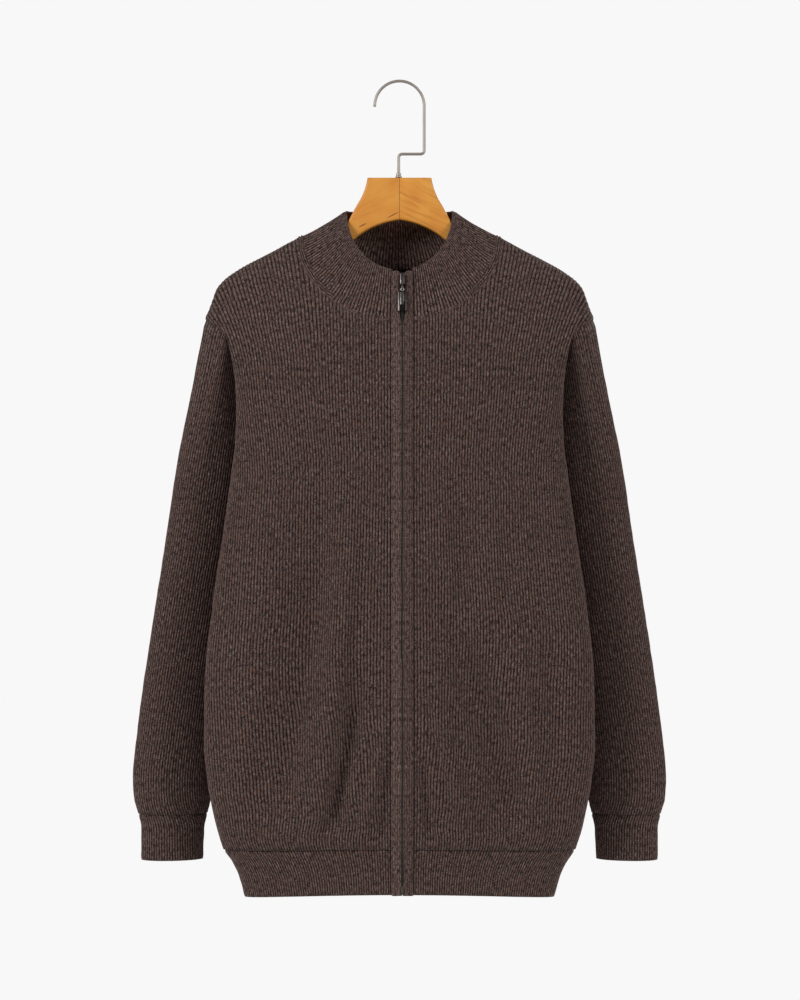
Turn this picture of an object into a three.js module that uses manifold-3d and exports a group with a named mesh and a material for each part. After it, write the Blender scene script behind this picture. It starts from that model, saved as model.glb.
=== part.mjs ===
// Full-zip ribbed cardigan with a stand collar, on a wooden hanger with a bent wire hook.
// Millimetres, +Z up, +X the wearer's left, the front faces -Y.
// The origin is the inner top of the hook, where a rail carries it.
import * as THREE from "three";
import { mergeVertices } from "three/addons/utils/BufferGeometryUtils.js";
import Module from "manifold-3d";

const wasm = await Module();
wasm.setup();

// ---- driving dimensions ----
const CLOTH = 2.5;            // wall of the knitted panels
const COLLAR_CLOTH = 4;       // the collar is folded double
const GAP = 0.3;              // between pieces at a seam
const ZIP_X = 3;              // the zip hangs a little to the wearer's left of the hook
const ZIP_HALF_GAP = 1.6;     // half the slot between the two plackets
const SLIDER_HALF_GAP = 3.1;  // the same beside the slider
const PLACKET_WIDTH = 9;      // the plain-knit facing beside the zip
const PLACKET_RAISE = 1;      // how far a placket stands out from the front
const PLACKET_THICK = 3.5;
const TAPE_WIDTH = 10.4;        // of each half of the tape, behind its placket
const TAPE_THICK = 1;
const BODY_BOTTOM = -835.5;   // where the hem bands begin
const HEM_BOTTOM = -886;
const HEM_SAG = 6;            // how much lower the hem hangs at the sides
const HEM_SAG_AT = 170;       // measured there
const HEM_SAG_TOP = -780;     // where the sag begins
const BASE_ROW = -268;        // below this the panels are rows, above it they are columns
const ARMPIT = -435;
const SHOULDER_POINT = -261;
const NECK_Z = -170.5;        // where the neck seam crosses the shoulder seam
const NECK_HALF = 112;
const NECK_DROP_FRONT = 94;
const NECK_DROP_BACK = 31;
const COLLAR_TOP_Z = -141;
const COLLAR_TOP_HALF = 60;
const COLLAR_TOP_DROP = 66;   // the front of the top edge lies this much lower than its sides
const COLLAR_TOP_FRONT = 47;
const COLLAR_TOP_BACK = 40;
const SLEEVE_TOP = -441;      // below this the sleeve is a plain tube
const SLEEVE_STEP = 20;       // the tube above that, which the cap runs on from
const CUFF_TOP = -806;
const CUFF_BOTTOM = -857;

// ---- smooth tables: each row is one level, columns are named ----
function table(names, rows) {
  const sorted = [...rows].sort((a, b) => a[0] - b[0]);
  const columns = {};
  names.forEach((name, c) => {
    const xs = sorted.map((row) => row[0]);
    const ys = sorted.map((row) => row[c + 1]);
    const slopes = xs.map(() => 0);
    const step = (i) => (ys[i + 1] - ys[i]) / (xs[i + 1] - xs[i]);
    for (let i = 0; i < xs.length; i++) {
      const before = i > 0 ? step(i - 1) : step(0);
      const after = i < xs.length - 1 ? step(i) : step(i - 1);
      slopes[i] = before * after > 0 ? (2 * before * after) / (before + after) : 0;
    }
    columns[name] = (x) => {
      if (x <= xs[0]) return ys[0];
      if (x >= xs[xs.length - 1]) return ys[ys.length - 1];
      let i = 0;
      while (x > xs[i + 1]) i++;
      const width = xs[i + 1] - xs[i];
      const t = (x - xs[i]) / width;
      const curve = (2 * t ** 3 - 3 * t ** 2 + 1) * ys[i] + (3 * t ** 2 - 2 * t ** 3) * ys[i + 1];
      const bend = (t ** 3 - 2 * t ** 2 + t) * slopes[i] + (t ** 3 - t ** 2) * slopes[i + 1];
      return curve + bend * width;
    };
  });
  return columns;
}

// The front: half width at its widest, where that line lies in depth, the depth at the middle,
// how square the section is, and the armhole or side seam that it wraps back to.
const front = table(["half", "wideY", "depth", "square", "seamY", "tuck"], [
  [-170, 111, 0, 14, 1.9, 0, 0],
  [-184, 137, 0, 22, 1.9, 0, 0],
  [-195, 158, 0, 29, 1.9, 0, 0],
  [-206, 178, 0, 35, 1.9, 0, 0],
  [-217, 193, 0, 41, 1.9, 0, 0],
  [-228, 202, 0, 46, 1.9, 0, 0],
  [-239, 206, 0, 52, 2.0, 0, 0],
  [-250, 210, 0, 57, 2.0, 0, 0],
  [-261, 214.5, 0, 61, 2.1, 0, 0],
  [-268, 205, -28, 63, 2.1, -22, 0],
  [-273, 195, -28, 64, 2.1, -30, 0],
  [-281, 188.6, -28, 65, 2.2, -35, 0],
  [-297, 184, -28, 67, 2.3, -25, 2],
  [-315, 181, -28, 69, 2.3, -13, 5],
  [-340, 178.5, -28, 70, 2.4, -1, 9],
  [-370, 178, -28, 72, 2.4, 10, 14],
  [-400, 179.5, -28, 73, 2.4, 19, 18],
  [-435, 184, -28, 74, 2.4, 27, 22],
  [-481, 190, -28, 75, 2.4, 27, 23],
  [-569, 203, -29, 77, 2.3, 27, 24],
  [-657, 212, -30, 79, 2.3, 27, 25],
  [-723, 213, -30, 80, 2.2, 26, 25],
  [-767, 209, -30, 80, 2.2, 25, 24],
  [-800, 203, -28, 78, 2.2, 23, 22],
  [-822, 197, -26, 73, 2.2, 21, 20],
  [-835, 192, -25, 69, 2.2, 20, 18],
  [-850, 182, -23, 64, 2.2, 18, 16],
  [-866, 174.5, -22, 60, 2.2, 17, 15],
  [-889, 168.4, -22, 57, 2.2, 17, 15],
]);

// The outline from shoulder to upper arm: the front and the back run on into the sleeves there.
const shoulder = table(["half"], [
  [-170, 111],
  [-184, 137],
  [-195, 158],
  [-206, 178],
  [-217, 193],
  [-228, 202],
  [-239, 206],
  [-250, 210],
  [-261, 214.5],
  [-281, 219.5],
  [-315, 226.5],
  [-350, 233],
  [-400, 243],
]);

// The back: its edge along the shoulder and the armhole, then the depth at its middle.
const backEdge = table(["x", "y"], [
  [-170, 111, 0],
  [-184, 137, 0],
  [-195, 158, 0],
  [-206, 178, 0],
  [-217, 193, 0],
  [-228, 202, 0],
  [-239, 206, 0],
  [-250, 210, 0],
  [-261, 214.5, 0],
  [-268, 210, 10],
  [-281, 203, 21],
  [-297, 197, 28],
  [-315, 191, 33],
  [-340, 185, 37],
  [-370, 176, 38],
  [-400, 167, 34],
  [-435, 162, 27],
]);
const backForm = table(["depth", "square"], [
  [-170, 14, 1.9],
  [-184, 24, 1.9],
  [-195, 33, 1.9],
  [-206, 42, 1.9],
  [-217, 48, 1.9],
  [-228, 52, 1.9],
  [-250, 58, 2.0],
  [-281, 62, 2.1],
  [-350, 66, 2.0],
  [-437, 70, 1.9],
  [-569, 72, 1.9],
  [-723, 75, 1.9],
  [-767, 74, 1.9],
  [-800, 71, 1.9],
  [-835, 64, 1.9],
  [-866, 57, 1.9],
  [-889, 54, 1.9],
]);
const back = {
  depth: backForm.depth,
  square: backForm.square,
  seamX: (z) => (z < ARMPIT ? front.half(z) - front.tuck(z) : backEdge.x(z)),
  seamY: (z) => (z < ARMPIT ? front.seamY(z) : backEdge.y(z)),
};

// The sleeve below the armpit: outer and inner edge, middle in depth, half thickness and turn.
const sleeve = table(["outer", "inner", "middleY", "thick", "turn"], [
  [-441, 250, 163, 33, 32, 30],
  [-503, 259, 170, 35, 31, 29],
  [-569, 269.5, 181, 36, 30, 27],
  [-657, 283, 194, 35, 29, 24],
  [-723, 291.5, 201, 33, 28, 20],
  [-767, 295.4, 205, 30, 27, 16],
  [-789, 294, 209, 27, 26, 14],
  [-806, 289.5, 213, 26, 24, 12],
  [-822, 286, 216.5, 25, 22, 12],
  [-857, 286, 218, 25, 21, 12],
]);

// Folds of each front: three points from top to bottom, half width and height (a trough is below 0).
const FOLDS = {
  right: [
    { top: [-97, -404], middle: [-118, -613], bottom: [-146, -822], half: 24, height: -4.5 },
    { top: [-60, -448], middle: [-80, -625], bottom: [-119, -828], half: 18, height: 3.5 },
    { top: [-43, -630], middle: [-60, -712], bottom: [-82, -815], half: 12, height: -3.5 },
    { top: [-43, -712], middle: [-54, -770], bottom: [-65, -828], half: 10, height: 3 },
    { top: [-10, -701], middle: [-21, -751], bottom: [-31, -822], half: 9, height: -2.5 },
  ],
  left: [
    { top: [22, -558], middle: [64, -690], bottom: [99, -815], half: 14, height: -5 },
    { top: [22, -624], middle: [40, -712], bottom: [50, -828], half: 13, height: 3.5 },
    { top: [99, -575], middle: [112, -680], bottom: [121, -790], half: 20, height: 2.5 },
    { top: [143, -630], middle: [148, -680], bottom: [150, -735], half: 14, height: -2.5 },
  ],
  back: [
    { top: [-70, -520], middle: [-95, -660], bottom: [-120, -815], half: 20, height: -4 },
    { top: [-20, -600], middle: [-34, -710], bottom: [-50, -822], half: 15, height: 3 },
    { top: [60, -480], middle: [72, -640], bottom: [104, -812], half: 20, height: -4.5 },
    { top: [20, -690], middle: [27, -760], bottom: [32, -828], half: 11, height: -3 },
  ],
};

function bump(t) {
  return Math.abs(t) >= 1 ? 0 : (1 - t * t) ** 2;
}

function foldHeight(folds, x, z) {
  let height = 0;
  for (const fold of folds) {
    const along = (fold.top[1] - z) / (fold.top[1] - fold.bottom[1]);
    if (along <= 0 || along >= 1) continue;
    const a = (1 - along) ** 2;
    const b = 2 * along * (1 - along);
    const bow = 2 * fold.middle[0] - (fold.top[0] + fold.bottom[0]) / 2;
    const centre = a * fold.top[0] + b * bow + along ** 2 * fold.bottom[0];
    const fade = Math.min(1, along * 2.5, (1 - along) * 7);
    height += fold.height * fade * bump((x - centre) / fold.half);
  }
  return height;
}

// ---- the panels' surfaces ----
function bulge(x, half, square) {
  return Math.max(0, 1 - (Math.abs(x) / half) ** square) ** (1 / square);
}

// How far the side fold has formed at a level: none at the shoulder, all of it lower down.
function folded(z, end) {
  return THREE.MathUtils.smoothstep(-z, 275, end);
}

function frontY(x, z) {
  const wide = front.wideY(z);
  const folds = x < ZIP_X ? FOLDS.right : FOLDS.left;
  const lens = -front.depth(z) * bulge(x, shoulder.half(z), front.square(z));
  const fold = wide - (front.depth(z) + wide) * bulge(x, front.half(z), front.square(z));
  return lens + (fold - lens) * folded(z, 345) - foldHeight(folds, x, z) * bulge(x, front.half(z), 2);
}

function backY(x, z) {
  const seam = back.seamY(z);
  const lens = back.depth(z) * bulge(x, shoulder.half(z), back.square(z));
  const fold = seam + (back.depth(z) - seam) * bulge(x, back.seamX(z), back.square(z));
  return lens + (fold - lens) * folded(z, 400) + foldHeight(FOLDS.back, x, z) * bulge(x, back.seamX(z), 2);
}

function sag(z) {
  return THREE.MathUtils.smoothstep(z, HEM_BOTTOM, HEM_SAG_TOP) * -HEM_SAG + HEM_SAG;
}

function lowered(x, y, z) {
  return new THREE.Vector3(x, y, z - sag(z) * (x / HEM_SAG_AT) ** 2);
}

const FRONT_STEPS = 48;  // points along a row before it is divided evenly
const BACK_STEPS = 80;
const TUCK_STEPS = 8;    // of those round the side fold

// One row of a front panel, from the placket round the side fold to its seam; side is +1 or -1.
function frontRow(z, side, inner) {
  const half = front.half(z);
  const points = [];
  for (let i = 0; i <= FRONT_STEPS; i++) {
    const angle = (i / FRONT_STEPS) * Math.PI / 2;
    const x = inner + (half - inner) * Math.sin(angle);
    points.push(lowered(side * x, frontY(side * x, z), z));
  }
  const edge = frontY(side * half, z);
  const wrap = front.seamY(z) - edge;
  if (wrap > 1) {
    for (let i = 1; i <= TUCK_STEPS; i++) {
      const s = i / TUCK_STEPS;
      const x = half - front.tuck(z) * s * s;
      points.push(lowered(side * x, edge + wrap * s, z));
    }
  }
  return points;
}

function backRow(z) {
  const points = [];
  for (let i = 0; i <= BACK_STEPS; i++) {
    const x = back.seamX(z) * Math.sin((i / BACK_STEPS - 0.5) * Math.PI);
    points.push(lowered(x, backY(x, z), z));
  }
  return points;
}

// Points at equal spacing along a polyline, kept clear of its two ends.
function resample(points, count, startGap, endGap) {
  const lengths = [0];
  for (let i = 1; i < points.length; i++) lengths.push(lengths[i - 1] + points[i].distanceTo(points[i - 1]));
  const total = lengths[lengths.length - 1];
  const result = [];
  let i = 0;
  for (let k = 0; k <= count; k++) {
    const s = startGap + (total - startGap - endGap) * (k / count);
    while (i < points.length - 2 && lengths[i + 1] < s) i++;
    const t = (s - lengths[i]) / (lengths[i + 1] - lengths[i]);
    result.push(points[i].clone().lerp(points[i + 1], t));
  }
  return result;
}

// Heights of the rows between two levels, at most step apart, with the levels named in between.
const ARMHOLE_LEVELS = [BASE_ROW, -273, -281, -297, -315, -340, -370, -400, ARMPIT];
const ROW_LEVELS = [BODY_BOTTOM, -812, -780, -735, -690, -645, -600, -555, -510, -472,
  ...[...ARMHOLE_LEVELS].reverse()];
const CROWN = [0, 0.3, 0.55, 0.75, 0.88, 0.96, 1];  // steps up each column to the neck or shoulder

function ridgeZ(x) {
  let low = SHOULDER_POINT;
  let high = NECK_Z;
  for (let i = 0; i < 40; i++) {
    const middle = (low + high) / 2;
    if (front.half(middle) > x) low = middle;
    else high = middle;
  }
  return (low + high) / 2;
}

// The neck seam at an angle round the neck: 0 is the front, a quarter turn the shoulder seam.
function neckPoint(angle, gap = 0) {
  const forward = Math.cos(angle) > 1e-9;
  const power = forward ? 1.85 : 2;
  const half = NECK_HALF + gap;
  const x = half * Math.sign(Math.sin(angle)) * Math.abs(Math.sin(angle)) ** (2 / power);
  const drop = (forward ? NECK_DROP_FRONT : NECK_DROP_BACK) + gap;
  const z = NECK_Z - drop * Math.abs(Math.cos(angle)) ** (2 / power);
  return new THREE.Vector3(x, forward ? frontY(x, z) : backY(x, z), z);
}

const RIDGE_COLUMNS = 5;
const SHOULDER_HALF = front.half(SHOULDER_POINT) - 0.2;

// Along the shoulder seam, k steps out from the neck.
function ridgePoint(side, k) {
  const from = NECK_HALF + GAP;
  const x = from + (SHOULDER_HALF - from) * (k / RIDGE_COLUMNS);
  return new THREE.Vector3(side * x, 0, ridgeZ(x));
}

function crownRows(baseRow, tops, surface, halfAt) {
  return CROWN.slice(1).map((t) => baseRow.map((base, j) => {
    const top = tops[j];
    if (t === 1) return top.clone();
    const x = base.x + (top.x - base.x) * t;
    const z = base.z + (top.z - base.z) * t;
    const near = Math.min(Math.abs(x), halfAt(z)) * Math.sign(x || 1);
    return new THREE.Vector3(x, surface(near, z), z);
  }));
}

function seamEdge(y) {
  return (vertex) => {
    if (Math.abs(vertex.y) < 0.01) vertex.y = y;
    return vertex;
  };
}

const NECK_COLUMNS_FRONT = 7;
const NECK_COLUMNS_BACK = 12;
const FRONT_COLUMNS = NECK_COLUMNS_FRONT + RIDGE_COLUMNS;
const BACK_COLUMNS = NECK_COLUMNS_BACK + 2 * RIDGE_COLUMNS;

function innerEdge(side) {
  return ZIP_HALF_GAP + PLACKET_WIDTH + side * ZIP_X;
}

// The angle at which the neck seam or the top edge of the collar passes x.
function angleAt(x, pointAt) {
  let low = 0;
  let high = Math.PI / 2;
  for (let i = 0; i < 40; i++) {
    const middle = (low + high) / 2;
    if (pointAt(middle).x < x) low = middle;
    else high = middle;
  }
  return low;
}

function frontSurface(side) {
  const inner = innerEdge(side);
  const rows = ROW_LEVELS.map((z) => resample(frontRow(z, side, inner), FRONT_COLUMNS, GAP, GAP / 2));
  const start = angleAt(inner + GAP, neckPoint);
  const tops = [];
  for (let k = 0; k < NECK_COLUMNS_FRONT; k++) {
    const angle = start + (Math.PI / 2 - start) * (k / NECK_COLUMNS_FRONT);
    tops.push(neckPoint(side * angle, GAP));
  }
  for (let k = 0; k <= RIDGE_COLUMNS; k++) tops.push(ridgePoint(side, k));
  rows.push(...crownRows(rows[rows.length - 1], tops, frontY, front.half));
  rows.forEach((row) => row.forEach(seamEdge(-GAP / 2)));
  return surfaceOf(rows, false, side < 0);
}

function backSurface() {
  const rows = ROW_LEVELS.map((z) => resample(backRow(z), BACK_COLUMNS, GAP, GAP));
  const tops = [];
  for (let k = RIDGE_COLUMNS; k >= 0; k--) tops.push(ridgePoint(-1, k));
  for (let k = 1; k < NECK_COLUMNS_BACK; k++) {
    tops.push(neckPoint(Math.PI * (1.5 - k / NECK_COLUMNS_BACK), GAP));
  }
  for (let k = 0; k <= RIDGE_COLUMNS; k++) tops.push(ridgePoint(1, k));
  rows.push(...crownRows(rows[rows.length - 1], tops, backY, back.seamX));
  rows.forEach((row) => row.forEach(seamEdge(GAP / 2)));
  return surfaceOf(rows, false, true);
}

// ---- hem bands ----
const HEM_ROWS = [HEM_BOTTOM, -868, -851, BODY_BOTTOM - 2 * GAP];

function hemFront(side) {
  const inner = innerEdge(side);
  const rows = HEM_ROWS.map((z) => resample(frontRow(z, side, inner), FRONT_COLUMNS, GAP, GAP / 2));
  return surfaceOf(rows, false, side < 0);
}

function hemBack() {
  const rows = HEM_ROWS.map((z) => resample(backRow(z), BACK_COLUMNS, GAP / 2, GAP / 2));
  return surfaceOf(rows, false, true);
}

// ---- sleeves: rings round the armhole, then round the arm; side is +1 or -1 ----
const RING = 2 * ARMHOLE_LEVELS.length;
const SLEEVE_LEVELS = [CUFF_TOP, -789, -767, -735, -690, -630, -569, -503, -465];
const CAP_STEPS = [0.25, 0.5, 0.75];   // between the tube and the armhole
const ARMPIT_CLEAR = 0.4;  // the cap starts this much further out at the armpit, clear of the back
const UNDERARM = THREE.MathUtils.degToRad(150);  // where round the arm its under seam runs

// The edge that the sleeve is sewn to: from the shoulder down the front to the armpit, and back up.
function armhole(side) {
  const down = [ridgePoint(side, RIDGE_COLUMNS)];
  const up = [];
  for (const z of ARMHOLE_LEVELS) {
    const row = frontRow(z, side, innerEdge(side));
    down.push(row[row.length - 1]);
    up.unshift(new THREE.Vector3(side * back.seamX(z), backY(back.seamX(z), z), z));
  }
  return [...down, ...up.slice(1)];
}

function ringAngle(k) {
  const half = RING / 2;
  if (k <= half) return UNDERARM * (k / half);
  return UNDERARM + (Math.PI * 2 - UNDERARM) * ((k - half) / half);
}

function sleeveRing(z, side) {
  const turn = THREE.MathUtils.degToRad(sleeve.turn(z));
  const thick = sleeve.thick(z);
  const half = (sleeve.outer(z) - sleeve.inner(z)) / 2;
  const long = Math.sqrt(half ** 2 - (thick * Math.sin(turn)) ** 2) / Math.cos(turn);
  const centreX = (sleeve.outer(z) + sleeve.inner(z)) / 2;
  const ring = [];
  for (let k = 0; k < RING; k++) {
    const t = ringAngle(k);
    const along = long * Math.cos(t);
    const across = thick * Math.sin(t);
    const x = centreX + along * Math.cos(turn) - across * Math.sin(turn);
    const y = sleeve.middleY(z) - along * Math.sin(turn) - across * Math.cos(turn);
    ring.push(new THREE.Vector3(side * x, y, z));
  }
  return ring;
}

// From the arm's top ring up to the armhole, leaving the ring in line with the arm below it.
function capPoint(ring, below, seam, t) {
  const span = seam.clone().sub(ring);
  const start = ring.clone().sub(below).normalize().multiplyScalar(span.length());
  const a = 2 * t ** 3 - 3 * t ** 2 + 1;
  const b = t ** 3 - 2 * t ** 2 + t;
  const c = t ** 3 - t ** 2;
  return seam.clone().addScaledVector(span, a * -1 + c).addScaledVector(start, b);
}

function sleeveSurface(side) {
  const top = armhole(side);
  const under = sleeveRing(SLEEVE_TOP, side);
  const rows = [];
  for (const z of SLEEVE_LEVELS) rows.push(sleeveRing(z, side));
  rows.push(under);
  const next = sleeveRing(SLEEVE_TOP - SLEEVE_STEP, side);
  for (const t of CAP_STEPS) rows.push(under.map((point, k) => capPoint(point, next[k], top[k], t)));
  rows.push(top.map((point, k) => {
    const away = under[k].clone().sub(point).normalize();
    const clear = side * ARMPIT_CLEAR * THREE.MathUtils.smoothstep(-point.z, 340, 435);
    const moved = point.clone().addScaledVector(away, 2 * GAP);
    moved.x += clear;
    return moved;
  }));
  return surfaceOf(rows, true, side > 0);
}

function cuffSurface(side) {
  const rows = [CUFF_BOTTOM, -840, -822, CUFF_TOP - GAP].map((z) => sleeveRing(z, side));
  return surfaceOf(rows, true, side > 0);
}

// ---- collar: a funnel from the neck seam to its top edge, open at the zip ----
function collarTop(angle) {
  const forward = Math.cos(angle) > 0;
  const y = -Math.cos(angle) * (forward ? COLLAR_TOP_FRONT : COLLAR_TOP_BACK);
  const drop = forward ? COLLAR_TOP_DROP * Math.cos(angle) : 0;
  return new THREE.Vector3(COLLAR_TOP_HALF * Math.sin(angle), y, COLLAR_TOP_Z - drop);
}

function collarPoint(angle, t) {
  const point = neckPoint(angle).lerp(collarTop(angle), t);
  point.z -= 10 * t * (1 - t) * Math.sin(angle) ** 2;  // the sides flare out towards the seam
  return point;
}

// The collar's columns meet the columns of the panels below it.
function collarAngles(t) {
  const pointAt = (angle) => collarPoint(angle, t);
  const left = angleAt(innerEdge(1) + GAP, pointAt);
  const right = angleAt(innerEdge(-1) + GAP, pointAt);
  const angles = [];
  const spread = (from, to, count) => {
    for (let k = 0; k < count; k++) angles.push(from + (to - from) * (k / count));
  };
  spread(left, Math.PI / 2, NECK_COLUMNS_FRONT);
  spread(Math.PI / 2, Math.PI * 1.5, NECK_COLUMNS_BACK);
  spread(Math.PI * 1.5, Math.PI * 2 - right, NECK_COLUMNS_FRONT);
  angles.push(Math.PI * 2 - right);
  return angles;
}

function collarSurface() {
  const rows = [0, 0.33, 0.67, 1].map((t) => collarAngles(t).map((angle) => collarPoint(angle, t)));
  return surfaceOf(rows, false, false);
}

// ---- surface: outer points and triangles; a shell gives it a wall ----
function surfaceOf(rows, closed, flip) {
  const width = rows[0].length;
  const points = rows.flat();
  const faces = [];
  const wrap = closed ? width : width - 1;
  for (let i = 0; i < rows.length - 1; i++) {
    for (let j = 0; j < wrap; j++) {
      const a = i * width + j;
      const b = i * width + ((j + 1) % width);
      const c = b + width;
      const d = a + width;
      faces.push([a, b, c], [a, c, d]);
    }
  }
  if (flip) faces.forEach((face) => face.reverse());
  const normals = points.map(() => new THREE.Vector3());
  for (const [a, b, c] of faces) {
    const normal = points[b].clone().sub(points[a]).cross(points[c].clone().sub(points[a]));
    for (const k of [a, b, c]) normals[k].add(normal);
  }
  normals.forEach((normal) => normal.normalize());
  return { points, faces, normals, edges: borderEdges(faces) };
}

function borderEdges(faces) {
  const seen = new Map();
  for (const face of faces) {
    for (let k = 0; k < 3; k++) {
      const from = face[k];
      const to = face[(k + 1) % 3];
      if (seen.has(`${to},${from}`)) seen.delete(`${to},${from}`);
      else seen.set(`${from},${to}`, [from, to]);
    }
  }
  return [...seen.values()];
}

// Where two pieces run on smoothly, both walls are cut square to the seam: their edge normals are
// shared. At a sharp valley each keeps its own, so that the walls part behind it.
function matchSeams(surfaces) {
  const line = new THREE.Line3();
  const found = new THREE.Vector3();
  const changes = [];
  for (const surface of surfaces) {
    const border = new Set(surface.edges.flat());
    for (const k of border) {
      let best = 1.6;
      let other = null;
      for (const near of surfaces) {
        if (near === surface) continue;
        for (const [a, b] of near.edges) {
          line.set(near.points[a], near.points[b]);
          const t = line.closestPointToPointParameter(surface.points[k], true);
          line.at(t, found);
          const distance = found.distanceTo(surface.points[k]);
          if (distance < best) {
            best = distance;
            other = near.normals[a].clone().lerp(near.normals[b], t).normalize();
          }
        }
      }
      if (other && other.dot(surface.normals[k]) > 0.6) changes.push([surface.normals, k, other]);
    }
  }
  const sums = changes.map(([normals, k, other]) => normals[k].clone().add(other).normalize());
  changes.forEach(([normals, k], i) => normals[k].copy(sums[i]));
  for (const { points, normals, edges } of surfaces) {
    for (const k of new Set(edges.flat())) {
      const onShoulder = Math.abs(points[k].y) < GAP && points[k].z > SHOULDER_POINT + 1;
      if (onShoulder) normals[k].setY(0).normalize();
    }
  }
}

function shell(surface, thickness) {
  const { points, faces, normals, edges } = surface;
  const count = points.length;
  const inner = points.map((point, k) => point.clone().addScaledVector(normals[k], -thickness));
  const triangles = [...faces];
  for (const [a, b, c] of faces) triangles.push([c + count, b + count, a + count]);
  for (const [a, b] of edges) triangles.push([b, a, a + count], [b, a + count, b + count]);
  return meshFrom([...points, ...inner], triangles);
}

function meshFrom(points, triangles) {
  const geometry = new THREE.BufferGeometry();
  geometry.setAttribute("position", new THREE.Float32BufferAttribute(points.flatMap((p) => p.toArray()), 3));
  geometry.setIndex(triangles.flat());
  return geometry;
}

// A strip that follows the middle of the front and the collar: four corners for each level.
const STRIP_LEVELS = [HEM_BOTTOM - 0.5, HEM_BOTTOM + 2, -862, BODY_BOTTOM, -800, -750, -700, -650, -600,
  -550, -500, -450, -400, -350, -310, -285, -264.5, -256, -245, -230, -215, -207.5];

function middleY(z) {
  const seamZ = NECK_Z - NECK_DROP_FRONT;
  if (z < seamZ) return -front.depth(z);
  const t = (z - seamZ) / (COLLAR_TOP_Z - COLLAR_TOP_DROP - seamZ);
  return -front.depth(seamZ) + (front.depth(seamZ) - COLLAR_TOP_FRONT) * t;
}

function strip(innerAt, outerAt, levels, nearFace, farFace) {
  const points = [];
  const triangles = [];
  for (const z of levels) {
    const y = middleY(z);
    const a = innerAt(z);
    const b = outerAt(z);
    const corners = [[a, nearFace], [b, nearFace], [b, farFace], [a, farFace]];
    corners.forEach(([x, face]) => points.push(new THREE.Vector3(x, y + face, z)));
  }
  const last = (levels.length - 1) * 4;
  for (let i = 0; i < levels.length - 1; i++) {
    for (let k = 0; k < 4; k++) {
      const a = i * 4 + k;
      const b = i * 4 + ((k + 1) % 4);
      triangles.push([a, b, b + 4], [a, b + 4, a + 4]);
    }
  }
  triangles.push([2, 1, 0], [3, 2, 0], [last, last + 1, last + 2], [last, last + 2, last + 3]);
  if (innerAt(0) > outerAt(0)) triangles.forEach((triangle) => triangle.reverse());
  return meshFrom(points, triangles);
}

function halfSlot(z) {
  return ZIP_HALF_GAP + (SLIDER_HALF_GAP - ZIP_HALF_GAP) * THREE.MathUtils.smoothstep(z, -270, -258);
}

function placket(side) {
  const outer = ZIP_X + side * (ZIP_HALF_GAP + PLACKET_WIDTH);
  return strip((z) => ZIP_X + side * halfSlot(z), () => outer, STRIP_LEVELS, -PLACKET_RAISE,
    PLACKET_THICK - PLACKET_RAISE);
}

const TAPE_FRONT = PLACKET_THICK - PLACKET_RAISE + GAP;

function zipTape(side) {
  const levels = STRIP_LEVELS.filter((z) => z > HEM_BOTTOM && z < -212);
  return strip(() => ZIP_X + side * GAP / 2, () => ZIP_X + side * TAPE_WIDTH, levels, TAPE_FRONT,
    TAPE_FRONT + TAPE_THICK);
}

// ---- metal of the zip, built flat and then leaned back with the collar ----
const LEAN = Math.atan((front.depth(NECK_Z - NECK_DROP_FRONT) - COLLAR_TOP_FRONT)
  / (COLLAR_TOP_Z - COLLAR_TOP_DROP - NECK_Z + NECK_DROP_FRONT));
const SLIDER_Z = -221.5;
const RAIL_HALF = 2.35;        // outer half width of the slider's crown
const RAIL_WIDTH = 1.05;
const CROWN_LENGTH = 12;
const CROWN_FRONT = 4.4;       // how far the crown stands out from the plackets
const PIN_RADIUS = 0.75;       // the bar that the tab hangs on
const PIN_OUT = 3.3;
const PIN_DOWN = 4.7;          // below the slider's middle
const RING_INNER = 1.15;
const RING_OUTER = 2.1;
const RING_HALF = 0.9;
const TAB_NECK = 2.5;          // between the ring and the eye
const EYE_LENGTH = 4.6;
const TAB_WIDTH = 9;
const TAB_LENGTH = 21.5;
const TAB_THICK = 1.5;

function solid(geometry) {
  const bare = geometry.clone();
  bare.deleteAttribute("normal");
  bare.deleteAttribute("uv");
  const merged = mergeVertices(bare.index ? bare.toNonIndexed() : bare, 1e-4);
  return new wasm.Manifold(new wasm.Mesh({
    numProp: 3,
    vertProperties: new Float32Array(merged.attributes.position.array),
    triVerts: new Uint32Array(merged.index.array),
  }));
}

function geometryOf(manifold) {
  const mesh = manifold.getMesh();
  const geometry = new THREE.BufferGeometry();
  geometry.setAttribute("position", new THREE.Float32BufferAttribute(mesh.vertProperties, 3));
  geometry.setIndex([...mesh.triVerts]);
  return geometry;
}

// A plate with rounded corners in the X-Z plane, from y0 (front) to y1.
function plate(halfWidth, z0, z1, y0, y1, corner) {
  const shape = new THREE.Shape();
  shape.moveTo(-halfWidth + corner, z0);
  shape.lineTo(halfWidth - corner, z0);
  shape.absarc(halfWidth - corner, z0 + corner, corner, -Math.PI / 2, 0);
  shape.absarc(halfWidth - corner, z1 - corner, corner, 0, Math.PI / 2);
  shape.absarc(-halfWidth + corner, z1 - corner, corner, Math.PI / 2, Math.PI);
  shape.absarc(-halfWidth + corner, z0 + corner, corner, Math.PI, Math.PI * 1.5);
  const options = { depth: y1 - y0, bevelEnabled: false, curveSegments: 4 };
  const geometry = new THREE.ExtrudeGeometry(shape, options);
  geometry.rotateX(Math.PI / 2);
  geometry.translate(0, y1, 0);
  return geometry;
}

function bar(radius, halfLength, y, z, sides) {
  const geometry = new THREE.CylinderGeometry(radius, radius, halfLength * 2, sides);
  geometry.rotateZ(Math.PI / 2);
  geometry.translate(0, y, z);
  return geometry;
}

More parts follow.
